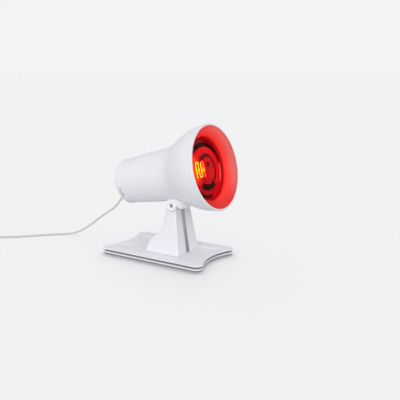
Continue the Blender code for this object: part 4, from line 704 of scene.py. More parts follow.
def ringed_colour(tree, place, away):
    """The glass: a ramp by radius, mottled, then the painted rings, the painted warm glow and the
    painted reflection streak.
    """
    colour = ramp(tree, mapped(tree, away, 0.0, BULB_R), *GLASS)
    uneven = smooth_share(tree, noise(tree, place, *MOTTLE), *MOTTLE_FROM)
    colour = blended(tree, product(tree, uneven, MOTTLE_MOST), colour, linear(*MOTTLE_RED))
    for centre, at, half, soft, weight, side in DARK_RINGS:
        amount = product(tree, band(tree, radius_from(tree, place, centre), at, half, soft),
                         weight)
        if side:
            amount = product(tree, amount, towards(tree, place, *side))
        colour = blended(tree, amount, colour, linear(*DEEP_RED))
    warm = product(tree, band(tree, away, *WARM_BAND), towards(tree, place, *WARM_SIDE),
                   WARM_MOST)
    colour = blended(tree, warm, colour, linear(*WARM_GLOW))
    streak = product(tree, band(tree, away, *STREAK_BAND), towards(tree, place, *STREAK_SIDE))
    return blended(tree, streak, colour, linear(*STREAK))


def lens_finish():
    """Red glass that lets light through and adds a share of its own, more outside the middle."""
    material, tree, shader = new_material("red_pressed_glass", "red_glass", IOR=1.12,
                                          Transmission_Weight=0.82, Specular_IOR_Level=0.2)
    place = head_coordinates(tree)
    away = radius_from(tree, place)
    colour = ringed_colour(tree, place, away)
    tree.links.new(colour, shader.inputs["Base Color"])
    glow(tree, shader, mapped(tree, away, *GLOW_RADII, *GLOW_SHARES), colour)
    add_grain(tree, shader, (0.0, 0.015), 0.2, 260.0, 40.0)
    return material


RED_GLASS = lens_finish()
print("red glass made with", len(DARK_RINGS), "dark rings")

# %% Mirror, clear glass and filament
LIT_RADII = (12 * MM, 60 * MM)
LIT_BOWL = ((0.0, (60, 6, 8)), (0.3, (190, 30, 30)), (0.7, (150, 14, 18)), (1.0, (50, 4, 8)))


def mirror_finish():
    """The bowl: silvered glass in red light, brightest in a ring round the filament."""
    material = finish("silvered_bowl", "red_mirror", (92, 10, 12), rough=(0.16, 0.26), depth=0.04,
                      Metallic=0.6, Emission_Strength=0.18)
    tree = material.node_tree
    lit = ramp(tree, mapped(tree, radius_from(tree, head_coordinates(tree)), *LIT_RADII), *LIT_BOWL)
    tree.links.new(lit, tree.nodes["Principled BSDF"].inputs["Emission Color"])
    return material


BOWL_MIRROR = mirror_finish()
CLEAR_GLASS = finish("clear_stem_glass", "clear_glass", (240, 240, 240), rough=(0.02, 0.06),
                     spread=0.01, Transmission_Weight=1.0, IOR=1.3)
TUNGSTEN = finish("glowing_tungsten", "tungsten", (255, 214, 120), rough=(0.4, 0.5), spread=0.02,
                  Emission_Color=linear(255, 228, 140), Emission_Strength=70.0)
print("mirror, clear glass and filament made")

# %% [markdown]
# ## The head's shell
# The real shell is one moulded bell: wide at the rim, drawn in to a long, slightly
# tapered barrel. Fifteen radii measured along the head give its profile. A line that
# flows through them gives the outside, the same line moved in by the wall gives the
# inside, and a ledge inside the barrel carries the lamp holder. The inner faces round
# the bulb's front get painted red light and glow.

# %% Shell
SHELL_PROFILE = np.array([(2.0, 81.6), (10.0, 81.4), (20.0, 80.6), (30.0, 78.7), (40.0, 75.4),
                          (50.0, 71.3), (60.0, 66.3), (69.0, 61.4), (77.0, 57.4), (85.0, 54.7),
                          (95.0, 53.1), (113.0, 52.0), (154.0, 49.5), (185.0, 46.7),
                          (194.0, 45.8)]) * MM
WALL = 2.2 * MM
LEDGE_START, LEDGE_END, LEDGE_HEIGHT = 162.0 * MM, 168.0 * MM, 2.2 * MM
LIT_DEPTH, FACING_IN = 45.0 * MM, -0.3
SHELL_SIDES = 160


def shell_profile():
    """The outside forwards, then the inside backwards with the ledge stepped into it."""
    outside = flow(SHELL_PROFILE, 8, SHELL_PROFILE[:, 0])
    inside = shrink(outside, WALL)
    inside[0], inside[-1] = outside[0] - (0, WALL), outside[-1] - (0, WALL)
    end, start = (np.interp(s, inside[:, 0], inside[:, 1]) for s in (LEDGE_END, LEDGE_START))
    behind, ahead = inside[inside[:, 0] > LEDGE_END + MM], inside[inside[:, 0] < LEDGE_START - MM]
    ledge = np.array([(LEDGE_END, end), (LEDGE_END, end - LEDGE_HEIGHT),
                      (LEDGE_START, start - LEDGE_HEIGHT), (LEDGE_START, start)])
    return np.vstack([outside, behind[::-1], ledge, ahead[::-1]])


def inside_near_bulb(at, normal):
    """Inner faces, whose way out points against the normal, round the bulb's front."""
    behind_rim, _, outwards = from_axis(at)
    return (np.sum(outwards * normal, 1) < FACING_IN) & (behind_rim < LIT_DEPTH)


shell = turned("bell_shell", shell_profile(), SHELL_SIDES)
hand_over(shell, "head", WHITE, "head_housing")
second_finish(shell, INSIDE_PAINTED_RED_LIGHT, inside_near_bulb)

# %% [markdown]
# ## Rim and cone
# A rolled white rim closes the bell's front edge, and the coral cone hangs inside it on
# a narrow flange. Both are closed profiles turned round the axis, with the rim's lip
# rounded like a bead. The rim's inner edge takes the cone's painted red light too.

# %% Rim and cone
RIM_PROFILE = np.array([(4.0, 81.9), (4.0, 83.0), (0.0, 83.0), (0.0, 78.6), (1.7, 78.6),
                        (1.7, 81.9)]) * MM
RIM_RADII = np.array([0.1, 0.6, 1.9, 1.9, 0.1, 0.1]) * MM
CORAL_WITHIN = 80.0 * MM
rim = turned("rolled_rim", soften(RIM_PROFILE, RIM_RADII, 9), SHELL_SIDES)
hand_over(rim, "head", WHITE, "rim_bezel")
# The rim's faces within this radius take the cone's painted red light.
second_finish(rim, CORAL, lambda at, normal: from_axis(at)[1] < CORAL_WITHIN)

CONE_PROFILE = np.array([(2.05, 79.05), (2.05, 77.9), (18.8, 61.8), (21.2, 61.8), (21.2, 62.8),
                         (19.3, 62.8), (3.0, 78.3), (3.0, 79.05)]) * MM
CONE_RADII = np.array([0.1, 0.6, 1.2, 0.3, 0.3, 1.2, 0.4, 0.1]) * MM
cone = turned("coral_cone", soften(CONE_PROFILE, CONE_RADII, 7), SHELL_SIDES)
hand_over(cone, "head", CORAL, "reflector_ring")

# %% [markdown]
# ## The bulb
# A reflector bulb has a domed lens of pressed glass, sealed to a bowl whose inside is
# silvered, with a neck that ends in a screw cap. The lens dome is s = front + crown
# (r/R)^2, with stepped rings pressed into its back. The bowl is a parabola, r^2
# proportional to the depth before its vertex, then the neck.

# %% Lens
LENS_FRONT, LENS_CROWN, LENS_WALL = 20.6 * MM, 5.6 * MM, 2.2 * MM
PINHOLE_R, STEP_DEPTH, STEP_WIDTH = 0.4 * MM, 0.35 * MM, 7.5 * MM
BULB_SIDES = 128


def dome(front, r):
    return np.stack([front + LENS_CROWN * (r / BULB_R) ** 2, r], 1)


front = dome(LENS_FRONT, np.linspace(PINHOLE_R, BULB_R, 40))
back = dome(LENS_FRONT + LENS_WALL, np.linspace(BULB_R, PINHOLE_R, 90))
back[1:-1, 0] -= STEP_DEPTH * np.abs(np.sin(back[1:-1, 1] * math.pi / STEP_WIDTH))
lens = turned("pressed_lens", np.vstack([front, back]), BULB_SIDES, closed=False)
hand_over(lens, "head", RED_GLASS, "bulb_lens")

# %% Bowl
BOWL_RIM, BOWL_START, BOWL_VERTEX = 28.7 * MM, 33.7 * MM, 106.0 * MM
NECK_R, NECK_END, BOWL_R, BOWL_WALL = 15.0 * MM, 131.0 * MM, 58.3 * MM, 1.8 * MM
bowl_r = np.linspace(BOWL_R, NECK_R, 36)
bowl_s = BOWL_VERTEX - (BOWL_VERTEX - BOWL_START) * (bowl_r / BOWL_R) ** 2
outside = np.vstack([[(BOWL_RIM, BULB_R), (BOWL_START - MM, BULB_R)],
                     np.stack([bowl_s, bowl_r], 1), [(NECK_END, NECK_R)]])
inside = shrink(outside, BOWL_WALL)
inside[0], inside[-1] = (BOWL_RIM, BULB_R - BOWL_WALL), (NECK_END, NECK_R - BOWL_WALL)
bowl = turned("silvered_bowl", np.vstack([outside, inside[::-1]]), BULB_SIDES)
hand_over(bowl, "head", BOWL_MIRROR, "bulb_reflector")

# %% [markdown]
# The filament hangs between two lead wires as a zig-zag of fine coiled wire. A tube is
# carried along a path: at each point two unit vectors square to the path give the ring.

# %% Tubes and the filament
STRAND_RINGS, WINDS, WIND_R, WIRE_R = 1400, 150, 0.45 * MM, 0.3 * MM
FILAMENT_DEPTH = 36.0 * MM
NEAR_VERTICAL = np.array([0.02, 0.03, 1.0])


def tube_rows(path, radius, sides):
    """Rings square to a path: `side` is level, `up` square to it and to the path."""
    along = unit(np.gradient(path, axis=0))
    side = unit(np.cross(along, NEAR_VERTICAL))
    up = np.cross(side, along)
    return circles(path, np.full(len(path), radius), side[:, None], up[:, None], sides)


def step_lengths(path):
    return np.linalg.norm(np.diff(path, axis=0), axis=1)


def resample(path, count):
    """The same path with its points set at equal steps along it."""
    along = np.concatenate([[0], np.cumsum(step_lengths(path))])
    want = np.linspace(0, along[-1], count)
    return np.stack([np.interp(want, along, path[:, k]) for k in range(3)], 1)


def filament_line(strokes=4, spread=13.0 * MM, half_rise=15.0 * MM):
    """Strokes up and down, joined by half circles whose radius is half their spacing."""
    turn = spread / (strokes - 1)
    line = [np.array([(-spread, -half_rise)])]
    for i in range(strokes - 1):
        side = -1 if i % 2 else 1
        a = np.linspace(math.pi, math.pi * (1 - side), 20)
        line.append(np.column_stack([turn * (2 * i + 1) - spread + turn * np.cos(a),
                                     side * (half_rise - turn) + turn * np.sin(a)]))
    line.append(np.array([(spread, -half_rise)]))
    return on_head(FILAMENT_DEPTH, *np.vstack(line).T)


strand = resample(filament_line(), STRAND_RINGS)
wind = np.linspace(0, math.tau * WINDS, STRAND_RINGS)[:, None]
backwards = np.array([0, 1.0, 0])
across = unit(np.cross(np.gradient(strand, axis=0), backwards))
strand = strand + WIND_R * (np.cos(wind) * across + np.sin(wind) * backwards)
filament = grid_object("coiled_filament", tube_rows(head_to_world(strand), WIRE_R, 6))
hand_over(filament, "head", TUNGSTEN, "filament")

# %% [markdown]
# ## Cutters and screws
# Slots, bores and seats are cut out with small solids. `bar` is a prism between two
# outlines, `boxes` puts many blocks into one mesh, and `rod` is a round bar along any
# line.

# %% Prisms, boxes and rods
# A direction that is never along the line: the first one, or the second for steep lines.
FIRST_ASIDE, SECOND_ASIDE, STEEP = (0.31, 0.17, 0.93), (1.0, 0.0, 0.0), 0.9


def bar(name, outline, ends, place=lambda p: p):
    """An outline of (y, z) carried along x from one end to the other."""
    outline = np.asarray(outline, float)
    rows = np.array([np.column_stack([np.full(len(outline), x), outline]) for x in ends])
    return grid_object(name, place(rows))


def boxes(name, centres, axes, halves):
    """Blocks at centres (n, 3), with unit axes (n, 3, 3) and half sizes (3,)."""
    centres, axes = np.atleast_2d(centres), np.asarray(axes, float)
    axes = np.broadcast_to(axes, (len(centres), 3, 3))
    signs = np.array([(x, y, z) for z in (-1, 1) for y in (-1, 1) for x in (-1, 1)])
    points = centres[:, None] + np.einsum("ki,nij->nkj", signs * np.asarray(halves), axes)
    quads = np.array([(0, 2, 3, 1), (4, 5, 7, 6), (0, 1, 5, 4), (2, 6, 7, 3), (0, 4, 6, 2),
                      (1, 3, 7, 5)])
    quads = (quads[None] + 8 * np.arange(len(centres))[:, None, None]).reshape(-1, 4)
    return mesh_object(name, points, quads)


def along_rows(profile, seat, direction, sides):
    """(h, r) turned about any line: rings of radius r round the places seat + h d."""
    d = unit(np.asarray(direction, float))
    u = unit(np.cross(d, FIRST_ASIDE if abs(d[2]) < STEEP else SECOND_ASIDE))
    v = np.cross(d, u)
    h, r = np.asarray(profile, float).T
    return circles(seat + h[:, None] * d, r, u, v, sides), (d, u, v)


def rod(seat, direction, length, radius, sides):
    rows, _ = along_rows([(0, radius), (length, radius)], seat, direction, sides)
    return grid_object("rod", rows)


def cross_rod(radius, x_from, x_to, sides=56):
    """A round bar along the tilt axis."""
    return rod(TILT_AXIS + (x_from, 0, 0), (1, 0, 0), x_to - x_from, radius, sides)


print("the tilt axis runs through", TILT_AXIS.round(4))

# %% [markdown]
# A screw is a crowned head with a ridged shank, and the driver's cross is cut into it.
# One function makes the nine screws that show: three in the rear cap, two in the post
# and four under the base.

# %% Cross-slotted screws
CROWN_FALL, RIDGES, RIDGE_DEPTH, POINT_SHARE = 0.38, 60, 0.07, 0.45
SLOT_REACH, SLOT_HALF, SLOT_LEAST, SLOT_SINK, SLOT_DEPTH = 0.58, 0.1, 0.28 * MM, 0.8, 0.42


def cross_screw(name, node, seat, direction, sizes, length, body):
    """The head's crown is h = -H (1 - fall (r/R)^3), and every third ring of the shank is narrow.

    sizes are the head's radius and height and the shank's radius, in mm.
    """
    head_r, head_h, shank_r = np.array(sizes) * MM
    share = np.linspace(0.02, 1, 9)
    crown = np.stack([-head_h * (1 - CROWN_FALL * share ** 3), head_r * share], 1)
    ridge = np.linspace(0.3 * MM, length - MM, RIDGES)
    narrow = np.arange(RIDGES) % 3 == 1
    shank = np.stack([ridge, shank_r * (1 - RIDGE_DEPTH * narrow)], 1)
    profile = np.vstack([crown, [(0, head_r), (0, shank_r)], shank,
                         [(length, shank_r * POINT_SHARE)]])
    rows, (d, u, v) = along_rows(profile, seat, direction, 32)
    screw = grid_object(name, rows)
    middle = np.asarray(seat) - d * head_h * SLOT_SINK
    halves = (head_r * SLOT_REACH, max(head_r * SLOT_HALF, SLOT_LEAST), head_h * SLOT_DEPTH)
    carve(screw, *[boxes("slot", middle, [a, b, d], halves) for a, b in ((u, v), (v, u))])
    return hand_over(screw, body, STEEL, node)


print("a screw's shank has", RIDGES, "rings")

# %% [markdown]
# ## The rear cap
# The cap closes the barrel behind a fine seam. Its back edge is well rounded, four pairs
# of short slots round its lower half let the warm air out, three screws hold it, and the
# lead and the switch pass through it.

# %% Rear cap and its vents
CAP_END, CAP_SIDES = 215.0 * MM, 144
CAP_PROFILE = np.array([(215.0, 0.4), (215.0, 45.8), (194.3, 45.8), (194.3, 43.3),
                        (188.3, 43.3), (188.3, 41.1), (196.5, 41.1), (196.5, 43.6),
                        (209.0, 43.6), (212.8, 39.8), (212.8, 0.4)]) * MM
CAP_RADII = np.array([0.01, 6.0, 0.4, 0.2, 0.3, 0.3, 0.2, 0.2, 1.0, 1.0, 0.01]) * MM
VENT_PAIRS, VENT_R, VENT_ROWS = 4, 44.8 * MM, (12.6 * MM, 8.4 * MM)
VENT_HALVES = (10 * MM, 0.8 * MM, 3 * MM)

cap = turned("rear_cap_shell", soften(CAP_PROFILE, CAP_RADII, 9), CAP_SIDES, closed=False)
angle = math.pi * (1 + (np.arange(VENT_PAIRS) + 0.5) / VENT_PAIRS)
outwards = np.stack([np.cos(angle), 0 * angle, np.sin(angle)], 1)
aside = np.stack([-np.sin(angle), 0 * angle, np.cos(angle)], 1)
axes = np.stack([aside, np.broadcast_to((0.0, 1.0, 0.0), aside.shape), outwards], 1)
centres = np.concatenate([on_head(CAP_END - ahead) + outwards * VENT_R for ahead in VENT_ROWS])
vents = boxes("vents", centres, np.concatenate([axes, axes]), VENT_HALVES)
turn = Matrix.Rotation(-REST_TILT, 4, "X")
vents.data.transform(Matrix.Translation(Vector(TILT_AXIS)) @ turn)
print("cap turned, with", len(centres), "vents to cut")

# %% Rear cap bores and screws
REAR = unit(head_to_world(on_head(1.0)) - head_to_world(on_head(0.0)))
SCREW_CIRCLE, SCREW_ANGLES = 32 * MM, (math.pi / 2, math.pi * 7 / 6, math.pi * 11 / 6)
SCREW_PLACES = [(SCREW_CIRCLE * math.cos(a), SCREW_CIRCLE * math.sin(a)) for a in SCREW_ANGLES]
LEAD_Z, SWITCH_Z = -24 * MM, 10 * MM
SCREW_HOLE_R, LEAD_HOLE_R, WINDOW_HALVES = 1.8 * MM, 4.7 * MM, (9.5 * MM, 4 * MM, 7.72 * MM)
CAP_SCREW, CAP_SCREW_LENGTH = (3.2, 1.8, 1.5), 49.0 * MM

holes = [(x, z, SCREW_HOLE_R) for x, z in SCREW_PLACES] + [(0, LEAD_Z, LEAD_HOLE_R)]
bores = [rod(head_to_world(on_head(CAP_END - 5 * MM, x, z)), REAR, 7 * MM, radius, 40)
         for x, z, radius in holes]
window = boxes("switch_window", [head_to_world(on_head(CAP_END - MM, 0, SWITCH_Z))],
               [(1, 0, 0), REAR, np.cross(REAR, (-1, 0, 0))], WINDOW_HALVES)
carve(cap, vents, *bores, window, edge=0.25 * MM)
hand_over(cap, "head", WHITE, "rear_cap")
for i, (x, z) in enumerate(SCREW_PLACES, start=1):
    cross_screw(f"cap_screw_{i}", f"rear_cap_screw_{i}", head_to_world(on_head(CAP_END, x, z)),
                -REAR, CAP_SCREW, CAP_SCREW_LENGTH, "head")

# %% [markdown]
# ## The rocker switch
# A small rocker sits in a framed hole of the cap. The frame is a rounded rectangle
# swept through its own section, and the rocker is a bar whose two faces are slightly
# dished and meet in a shallow valley. It rides on its own body.

# %% Switch frame
HALF_X, HALF_Z, FRAME_CORNER = 7.9 * MM, 6.11 * MM, 1.2 * MM
# Behind the cap's end and out from the opening, once round the frame's section.
FRAME_SECTION = np.array([(-12.0, 1.3), (0.3, 1.3), (0.3, 3.1), (0.9, 3.3), (1.3, 3.2),
                          (1.7, 2.7), (1.7, 0.4), (1.4, 0.0), (-6.0, 0.0)]) * MM

back, out = FRAME_SECTION.T
flat = rectangles(HALF_X + out, HALF_Z + out, FRAME_CORNER, 7)
rows = on_head((CAP_END + back)[:, None], flat[..., 0], SWITCH_Z + flat[..., 1])
switch_frame = grid_object("switch_surround", head_to_world(rows))
hand_over(switch_frame, "head", SWITCH_DARK, "switch_frame")

# %% Rocker
KEY_HALF_Z, KEY_HALF_X, KEY_RISE, KEY_SLOPE, KEY_DISH = 5.2, 7.4 * MM, 1.9, 0.7, 0.35
KEY_SIDES = [(0.6, 5.1), (-3.0, 3.4), (-3.0, -3.4), (0.6, -5.1)]
THROW = math.radians(7.0)
KEY_PLACE = on_head(CAP_END - 0.4 * MM, 0, SWITCH_Z)[1:]

z_face = np.linspace(-KEY_HALF_Z, KEY_HALF_Z, 41)
share = np.abs(z_face) / KEY_HALF_Z
y_face = KEY_RISE + KEY_SLOPE * share - KEY_DISH * np.sin(np.pi * share)
outline = np.vstack([np.column_stack([y_face, z_face]), KEY_SIDES]) * MM
spin = np.array([[math.cos(THROW), math.sin(THROW)], [-math.sin(THROW), math.cos(THROW)]])
rocker = bar("rocker_key", outline @ spin + KEY_PLACE, (-KEY_HALF_X, KEY_HALF_X), head_to_world)
carve(rocker, edge=0.35 * MM)
hand_over(rocker, "rocker", SWITCH_DARK, "switch_rocker")

# %% [markdown]
# ## The post
# The post is two moulded halves that meet at a fine seam. Each level is one outline
# with six corners: the channel down the front, the front edge, the side, the large rear
# rounding and the seam. The outline widens downwards, its front leans forward in a
# straight line, and its rear sweeps out in a curve that was measured at nine heights.

# %% The post's lines
FOOT_Z, TOP_Z = 9.3, 99.5
# At the foot, and how much it changes up to the top; the rear runs from the top down.
FRONT_FOOT, FRONT_LEAN, HALF_FOOT, HALF_TAPER, REAR_TOP, REAR_SWEEP = -50, 13, 38, 12.2, -13, 45
# Share of the height, and share of the rear's sweep there.
REAR_SHARES = np.array([(0.0, 1.0), (0.14, 0.90), (0.26, 0.77), (0.36, 0.58), (0.45, 0.345),
                        (0.56, 0.18), (0.70, 0.093), (0.84, 0.04), (1.0, 0.0)])
REAR_AT, REAR_LINE = flow(REAR_SHARES, 8, REAR_SHARES[:, 0]).T


def post_lines(z):
    """Front, rear and half width of the post at heights z, in mm."""
    share = (z - FOOT_Z) / (TOP_Z - FOOT_Z)
    rear = REAR_TOP + REAR_SWEEP * np.interp(share, REAR_AT, REAR_LINE)
    return FRONT_FOOT + FRONT_LEAN * share, rear, HALF_FOOT - HALF_TAPER * share


def post_rows(z, corners, radii, side):
    """Six corners (x, y) at every height, softened, mirrored by side."""
    places = np.stack([np.stack([x + 0 * z, y + 0 * z], -1) for x, y in corners], 1)
    flat = soften(places * MM, np.array(radii) * MM, 6)
    return at_heights(flat, z * MM) * (side, 1, 1) + (0, BASE_SHIFT, 0)


def half_rows(z, split, inset, channel_half, channel_depth, radii, side):
    """One half of the post, moved in by an inset, with its share of the channel."""
    front, rear, half = post_lines(z)
    corners = [(split, front + channel_depth), (channel_half, front + channel_depth),
               (channel_half, front + inset), (half - inset, front + inset),
               (half - inset, rear - inset), (split, rear - inset)]
    return post_rows(z, corners, radii, side)


print("the post's half width at foot and top:", post_lines(np.array([FOOT_Z, TOP_Z]))[2].round(1))

# %% Post halves
LEVELS, INNER_LEVELS = np.linspace(FOOT_Z, TOP_Z, 70), np.linspace(FOOT_Z - 2, 90.0, 60)
OUTER_FORM = (0.15, 0, 6.8, 4.5, (0.05, 0.3, 0.7, 2.2, 7.0, 0.4))
HOLLOW_FORM = (-2, 2.4, 9.0, 6.7, (0.05, 0.5, 0.4, 1.0, 4.6, 0.05))
SEAT_R, SEAT_HALF, NECK_SLOT_BELOW = 12 * MM, 42 * MM, 11.5 * MM
NECK_SLOT_HALVES = (18.8 * MM, 3.3 * MM, 8 * MM)
SINK_R, SINK_X, SCREW_FROM_REAR = 3.0 * MM, 20, 7.5
POST_SCREW, POST_SCREW_LENGTH, POST_SCREW_SHARES = (2.7, 1.8, 1.3), 31.5 * MM, (0.56, 0.2)

screw_seats = []
for share in POST_SCREW_SHARES:
    z = FOOT_Z + (TOP_Z - FOOT_Z) * share
    screw_seats.append(on_base(SINK_X, post_lines(z)[1] - SCREW_FROM_REAR, z))
for side, name in ((-1, "post_left"), (1, "post_right")):
    shell_half = grid_object(f"{name}_half", half_rows(LEVELS, *OUTER_FORM, side))
    cutters = [grid_object("hollow", half_rows(INNER_LEVELS, *HOLLOW_FORM, side)),
               cross_rod(SEAT_R, -SEAT_HALF, SEAT_HALF, 96),
               boxes("slot", [TILT_AXIS - (0, 0, NECK_SLOT_BELOW)], np.eye(3), NECK_SLOT_HALVES)]
    if side > 0:
        cutters += [rod(seat, (1, 0, 0), 30 * MM, SINK_R, 32) for seat in screw_seats]
    carve(shell_half, *cutters, edge=0.15 * MM)
    hand_over(shell_half, "base", WHITE, f"{name}_shell")
for i, seat in enumerate(screw_seats, start=1):
    cross_screw(f"post_joining_screw_{i}", f"post_screw_{i}", seat, (-1, 0, 0), POST_SCREW,
                POST_SCREW_LENGTH, "base")

# %% Channel strip
STRIP_LEVELS = np.linspace(FOOT_Z, 94.2, 24)
front = post_lines(STRIP_LEVELS)[0]
section = [(-6.4, 4.15), (-6.4, 2.75), (-4.6, 2.6), (4.6, 2.6), (6.4, 2.75), (6.4, 4.15)]
rows = post_rows(STRIP_LEVELS, [(x, front + behind) for x, behind in section],
                 (0.1, 0.5, 1.0, 1.0, 0.5, 0.1), 1)
strip = grid_object("channel_strip", rows)
hand_over(strip, "base", STRIP_GREY, "post_channel_strip")

# %% [markdown]
# ## The hinge lug
# The lug is a short block with a round foot that turns in the post's hollow seat, and
# its front bows out into a chin. In plan the chin is an arc: for a chord of half width
# w and a bulge b, the radius is (w^2 + b^2) / 2b. Its underside is hollowed along the
# line that the post's front would sweep through it as the head tips down.

# %% Lug block
DOWN, UP = math.radians(30.0), math.radians(20.0)
HALF_DEPTH, FOOT_R, LUG_TOP, LUG_HALF_X = 9.75 * MM, 11.0 * MM, 18 * MM, 26 * MM

corner = math.asin(HALF_DEPTH / FOOT_R)
sweep = np.linspace(-math.pi / 2 - corner, -math.pi / 2 + corner, 49)
round_foot = np.column_stack([FOOT_R * np.cos(sweep), FOOT_R * np.sin(sweep)])
outline = np.vstack([round_foot, [(HALF_DEPTH, LUG_TOP), (-HALF_DEPTH, LUG_TOP)]])
lug = bar("hinge_lug", outline + TILT_AXIS[1:], (-LUG_HALF_X, LUG_HALF_X))
carve(lug, edge=0.9 * MM)
print("lug block:", len(lug.data.polygons), "faces")

# %% Chin, hollowed for the post
CHIN_HALF, CHIN_BULGE, CHIN_ROOT = 25.5 * MM, 15.0 * MM, 3 * MM
# Inset from the arc and height below or above the axis, in mm, from the underside up.
CHIN_EDGE = np.array([(1.9, -6.2), (1.1, -6.05), (0.5, -5.6), (0.12, -4.9), (0.0, -4.2),
                      (0.0, 18.0)]) * MM
SWEPT_DEPTH, SWEPT_HALF = 14, 28 * MM

bow = (CHIN_HALF ** 2 + CHIN_BULGE ** 2) / (2 * CHIN_BULGE)
reach = math.asin(CHIN_HALF / bow)
angle = np.linspace(-math.pi / 2 - reach, -math.pi / 2 + reach, 65)
radius = bow - CHIN_EDGE[:, :1]
x = radius * np.cos(angle)
y = bow - HALF_DEPTH - CHIN_BULGE + radius * np.sin(angle)
root = np.full((len(CHIN_EDGE), 1), CHIN_ROOT - HALF_DEPTH)
x, y = np.hstack([x, x[:, -1:], x[:, :1]]), np.hstack([y, root, root])
z = np.broadcast_to(CHIN_EDGE[:, 1:], x.shape)
chin = grid_object("chin", np.stack([x, y, z], -1) + TILT_AXIS)

level = np.linspace(TOP_Z, TOP_Z - SWEPT_DEPTH, 15)
ahead, below = TILT_Y - post_lines(level)[0], TILT_Z - level
distance, turn = np.hypot(ahead, below) * MM, np.arctan2(below, ahead) - DOWN
swept = np.column_stack([-distance * np.cos(turn) - MM, -distance * np.sin(turn)])
top = swept[0, 1] + MM
swept = np.vstack([[(0, top), (swept[0, 0], top)], swept,
                   [(swept[-1, 0], -SWEPT_DEPTH * MM), (0, -SWEPT_DEPTH * MM)]])
carve(chin, bar("swept", swept + TILT_AXIS[1:], (-SWEPT_HALF, SWEPT_HALF)), edge=0.3 * MM)
carve(lug, chin, operation="UNION")
print("lug with its chin:", len(lug.data.polygons), "faces")

# %% [markdown]
# The cuts for the barrel, the swing of the bracket's neck, the bolt, its head and the
# nut follow, and the lug's top takes the shape of the bell.

# %% Cuts in the lug
BARREL_R, BARREL_HALF, BOLT_R = 6.6 * MM, 19.4 * MM, 2.8 * MM
BOLT_HEAD_R, BOLT_HEAD_X, NUT_R, NUT_X = 4.1 * MM, 22.8 * MM, 4.5 * MM, 22.3 * MM
BEYOND = 30 * MM
NECK_FLANK, NECK_REACH, BELL_GAP, BELL_CORE = 3.6 * MM, 29 * MM, 0.3 * MM, 0.5 * MM

bell = flow(SHELL_PROFILE, 6, SHELL_PROFILE[:, 0]) + (0, BELL_GAP)
bell = np.vstack([[(SHELL_PROFILE[0, 0], BELL_CORE)], bell, [(SHELL_PROFILE[-1, 0], BELL_CORE)]])
front = np.array([-NECK_FLANK * math.cos(DOWN), NECK_FLANK * math.sin(DOWN)])
rear = np.array([NECK_FLANK * math.cos(UP), NECK_FLANK * math.sin(UP)])
swing = np.array([front, front + NECK_REACH * np.array([-math.sin(DOWN), -math.cos(DOWN)]),
                  rear + NECK_REACH * np.array([math.sin(UP), -math.cos(UP)]), rear])
carve(lug, turned("bell_shape", bell, SHELL_SIDES, closed=False),
      cross_rod(BARREL_R, -BARREL_HALF, BARREL_HALF),
      bar("swing", swing + TILT_AXIS[1:], (-BARREL_HALF, BARREL_HALF)),
      cross_rod(BOLT_R, -BEYOND, BEYOND), cross_rod(BOLT_HEAD_R, -BEYOND, -BOLT_HEAD_X),
      cross_rod(NUT_R, NUT_X, BEYOND, 6), edge=0.2 * MM)
# The lug takes the copy of the white plastic that is painted lighter, as painted light.
hand_over(lug, "head", LUG_PAINTED_LIGHTER, "tilt_saddle")

# %% [markdown]
# ## The base
# The base is long, with rounded corners and short ends that curve in. `plan` works the
# outline out for many rings at once: quarter turns at the corners, and a parabola along
# each end. The cover is one skin over such rings: in under the lip, round its edge,
# across the top and down into the shallow panel.

# %% Base outline
# Half width, half length, how far the ends curve in, and corner radius, in mm.
OUTER, PANEL = (71.0, 117.0, 13.0, 13.0), (44.0, 93.0, 9.0, 9.0)
SLOPE_ROUNDS = 14


def plan(half_width, half_length, sag, radius, corner_steps=14, end_steps=26):
    """Closed outlines, one per ring.

    The corner's arc goes on until it meets the end's slope, which is found by repeating.
    """
    sizes = np.broadcast_arrays(half_width, half_length, sag, radius)
    w, length, sag, r = (np.atleast_1d(np.asarray(v, float))[:, None] for v in sizes)
    slope = np.zeros_like(w)
    for _ in range(SLOPE_ROUNDS):
        slope = np.arctan(2 * sag / (w - r * (1 + np.sin(slope))))
    a = np.linspace(0, 1, corner_steps) * (math.pi / 2 + slope)
    cx, cy = w - r + r * np.cos(a), length - r + r * np.sin(a)
    t = np.linspace(1, -1, end_steps + 2)[1:-1]
    ex, ey = cx[:, -1:] * t, cy[:, -1:] - sag * (1 - t ** 2)
    x = np.concatenate([cx, ex, -cx[:, ::-1]], 1)
    y = np.concatenate([cy, ey, cy[:, ::-1]], 1)
    return np.stack([np.concatenate([x, -x], 1), np.concatenate([y, -y], 1)], -1)


def plan_rows(steps, sizes):
    """Rings of one outline, each moved in by its inset and set at its height, in mm."""
    insets, heights = np.asarray(steps, float).T
    half_width, half_length, sag, radius = sizes
    flat = plan(half_width - insets, half_length - insets, sag, radius - insets)
    return at_heights(flat, heights) * MM + (0, BASE_SHIFT, 0)


def quarter(centre, radius, start, steps=6):
    """Points on a quarter circle, from the start angle round to the left."""
    a = np.radians(np.linspace(start, start + 90, steps))
    return np.column_stack([centre[0] + radius * np.cos(a), centre[1] + radius * np.sin(a)])


def base_rods(places, z_from, z_to, radius, sides=36):
    """Upright round bars at (x, y) places of the base, all in mm."""
    return [rod(on_base(x, y, z_from), (0, 0, 1), (z_to - z_from) * MM, radius * MM, sides)
            for x, y in places]


print("an outline of the base has", plan(*OUTER).shape[1], "points")

